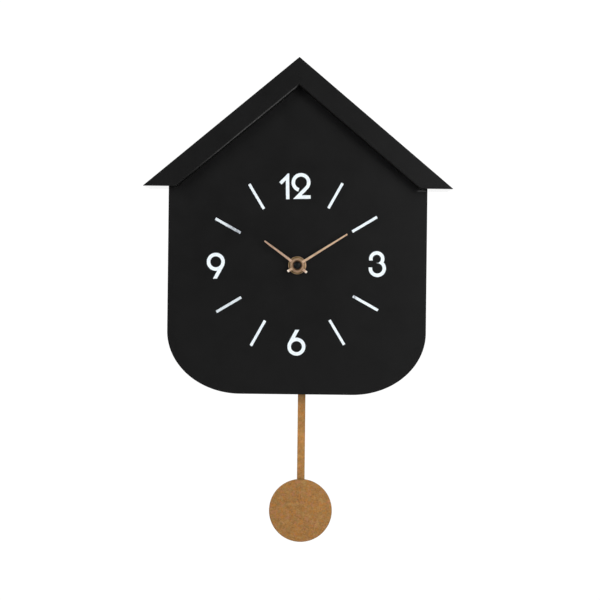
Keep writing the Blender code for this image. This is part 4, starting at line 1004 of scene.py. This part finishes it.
def build_pendulum():
    middle = centre_of("pendulum_bob")
    radius = (BOB_HIGH.z - BOB_LOW.z) / 2
    rows = [(BOB_DOT_R, BOB_LOW.y), (radius - BOB_RIM, BOB_LOW.y)]
    for x, z in arc((0.0, 0.0), BOB_RIM, BOB_RIM, math.radians(15.0), math.radians(90.0), 5):
        rows.append((radius - BOB_RIM + x, BOB_LOW.y + BOB_RIM - z))
    rows += [
        (radius, BOB_HIGH.y - BOB_RIM / 2),
        (radius - BOB_RIM / 2, BOB_HIGH.y),
        (BOB_DOT_R, BOB_HIGH.y),
    ]
    bob = round_rows("pendulum_bob_painted", rows, middle, 160, closed=False)
    place(soften(bob, 0.0), GOLD, "pendulum", "bob_gold", "pendulum_bob")

    half = (ROD_HIGH.x - ROD_LOW.x) / 2
    peg = (centre_of("pendulum_lever")[0], PEG_Z)
    outline = arc((middle[0], ROD_HIGH.z - half), half, half, -math.pi / 2, math.pi / 2, 32)
    outline += [(middle[0] + half, ROD_LOW.z), (middle[0] - half, ROD_LOW.z)]
    rod = plate("pendulum_rod_painted", [outline, circle(PEG_HOLE_R, 32, peg)], ROD_LOW.y, ROD_HIGH.y)
    rod_paint = gold_paint("rod_gold_paint", ROD_PAINTED_LIGHT_AND_SHADE)
    place(soften(rod, ROD_EDGE), rod_paint, "pendulum", "bob_gold", "pendulum_rod")
    refine("pendulum_lever", GEAR_PLASTIC, 0.0002)
    refine("pendulum_magnet", FERRITE, 0.0002)
    refine("pendulum_pivot_pin", STEEL)
    refine("pendulum_coil", copper_winding("copper_winding_flat", False))


# ---------------------------------------------------------------- movement

def build_rear_cover():
    """Rear cover with shallow moulded grooves, latch slots and a thumb scoop at the battery."""
    low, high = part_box("movement_case_rear")
    battery_low, battery_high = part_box("battery")
    knob = centre_of("setting_knob")
    bay_low = battery_low.z - BAY_MARGIN
    bay_high = battery_high.z + BAY_MARGIN
    left = low.x + GROOVE_INSET
    right = high.x - GROOVE_INSET
    front = high.y - GROOVE_DEPTH
    back = high.y + CUT_PAST
    ring = [circle(KNOB_RING_R, 48, knob), circle(KNOB_RING_R - GROOVE_WIDTH, 48, knob)]
    scoop = circle(SCOOP_R, 48, ((low.x + high.x) / 2, bay_low + SCOOP_RISE))
    cutters = [
        groove("upper_groove", left, right, bay_high + GROOVE_INSET, high.z - GROOVE_INSET, front, back),
        groove("lower_groove", left, right, low.z + GROOVE_INSET, bay_low - GROOVE_INSET, front, back),
        plate("knob_ring", ring, front, back),
        plate("thumb_scoop", [scoop], high.y - SCOOP_DEPTH, back),
    ]
    for x in (low.x, high.x):
        for z in (low.z + LATCH_INSET, high.z - LATCH_INSET):
            slot = rectangle(x - LATCH_HALF_WIDTH, x + LATCH_HALF_WIDTH,
                             z - LATCH_HALF_HEIGHT, z + LATCH_HALF_HEIGHT)
            cutters.append(plate("latch_slot", [slot], high.y - LATCH_FRONT, high.y - LATCH_BACK))
    cover = carved("movement_case_rear", "movement_case_rear_moulded", cutters)
    place(soften(cover, 0.00025, 2), BLACK_PLASTIC, "case", "black_plastic", "movement_case_rear")


def build_movement():
    refine("movement_case_front", BLACK_PLASTIC, 0.0005)
    build_rear_cover()
    refine("rubber_gasket", RUBBER)
    battery_low, battery_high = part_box("battery")
    sleeve_end = (battery_high.x - battery_low.x) / 2 - SLEEVE_INSET
    refine("battery", battery_jacket("battery_jacket", sleeve_end))
    refine("battery_contact_positive", STEEL)
    refine("battery_spring_negative", STEEL)
    refine("circuit_board", circuit_board("green_circuit_board"))
    refine("quartz_crystal", STEEL)
    refine("motor_coil", copper_winding("copper_winding_long", True))
    refine("motor_cover", GEAR_PLASTIC)
    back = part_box("setting_knob")[1].y
    dish = plate("knob_dish", [circle(DISH_R, 32, centre_of("setting_knob"))],
                 back - DISH_DEPTH, back + CUT_PAST)
    knob = carved("setting_knob", "setting_knob_dished", [dish])
    place(soften(knob, 0.00015, 2), BLACK_PLASTIC, "motion_arbor", "black_plastic", "setting_knob")
    for name in ("hour_wheel", "motion_wheel", "centre_wheel", "third_wheel", "seconds_wheel"):
        refine(name, GEAR_PLASTIC)


# ---------------------------------------------------------------- studio

def area_light(name, place_at, aim, size, power):
    light = bpy.data.lights.new(name, "AREA")
    light.shape = "RECTANGLE"
    light.size, light.size_y = size
    light.energy = power
    lamp = bpy.data.objects.new(name, light)
    bpy.context.scene.collection.objects.link(lamp)
    lamp.location = place_at
    direction = Vector(aim) - Vector(place_at)
    lamp.rotation_euler = direction.to_track_quat("-Z", "Y").to_euler()


def build_studio():
    scene = bpy.context.scene
    scene.view_settings.view_transform = "Standard"
    world = bpy.data.worlds.new("studio")
    scene.world = world
    world.use_nodes = True
    tree = world.node_tree
    tree.nodes.clear()
    direction = tree.nodes.new("ShaderNodeTexCoord")
    parts = tree.nodes.new("ShaderNodeSeparateXYZ")
    depth = tree.nodes.new("ShaderNodeMapRange")
    depth.inputs["From Min"].default_value = -0.1
    depth.inputs["From Max"].default_value = 0.5
    depth.inputs["To Min"].default_value = STUDIO_FRONT
    depth.inputs["To Max"].default_value = STUDIO_BACK
    room = tree.nodes.new("ShaderNodeBackground")
    room.inputs["Color"].default_value = (1.0, 1.0, 1.0, 1.0)
    white = tree.nodes.new("ShaderNodeBackground")
    white.inputs["Color"].default_value = (1.0, 1.0, 1.0, 1.0)
    white.inputs["Strength"].default_value = WHITE_BACKGROUND
    rays = tree.nodes.new("ShaderNodeLightPath")
    mix = tree.nodes.new("ShaderNodeMixShader")
    out = tree.nodes.new("ShaderNodeOutputWorld")
    tree.links.new(direction.outputs["Generated"], parts.inputs[0])
    tree.links.new(parts.outputs["Y"], depth.inputs["Value"])
    tree.links.new(depth.outputs["Result"], room.inputs["Strength"])
    tree.links.new(rays.outputs["Is Camera Ray"], mix.inputs["Fac"])
    tree.links.new(room.outputs[0], mix.inputs[1])
    tree.links.new(white.outputs[0], mix.inputs[2])
    tree.links.new(mix.outputs[0], out.inputs["Surface"])

    centre = (0.0, -0.03, -0.17)
    area_light("key", (0.95, -1.45, 0.30), centre, (1.1, 1.1), 20.8)
    area_light("fill", (-1.15, -1.40, 0.30), centre, (1.1, 1.1), 15.8)
    area_light("low", (0.15, -1.30, -0.62), centre, (1.2, 0.2), 1.8)
    area_light("rear", (-0.5, 1.5, 0.9), centre, (1.2, 1.2), 10.0)

    shape = bmesh.new()
    bmesh.ops.create_circle(shape, cap_ends=True, segments=128, radius=FLOOR_RADIUS)
    bmesh.ops.translate(shape, vec=(0.0, 0.0, FLOOR_Z), verts=shape.verts)
    mesh = bpy.data.meshes.new("studio_floor")
    shape.to_mesh(mesh)
    shape.free()
    floor = link_mesh("studio_floor", mesh)
    pale = Surface("pale_floor", 0.6)
    pale.colour(pale.mix(pale.noise(0.5, 2.0), (0.78, 0.78, 0.77), (0.82, 0.82, 0.81)))
    floor.data.materials.append(pale.material)

    view = bpy.data.cameras.new("camera")
    view.lens = CAMERA_LENS
    view.sensor_width = CAMERA_SENSOR
    view.shift_y = CAMERA_SHIFT_Y
    view.clip_start = 0.05
    camera = bpy.data.objects.new("camera", view)
    scene.collection.objects.link(camera)
    camera.location = CAMERA_AT
    camera.rotation_euler = (math.pi / 2, CAMERA_ROLL, 0.0)
    scene.camera = camera


build_case()
build_roof()
build_hanger()
build_dial()
build_hands()
build_handset()
build_pendulum()
build_movement()
build_studio()

bpy.context.view_layer.update()
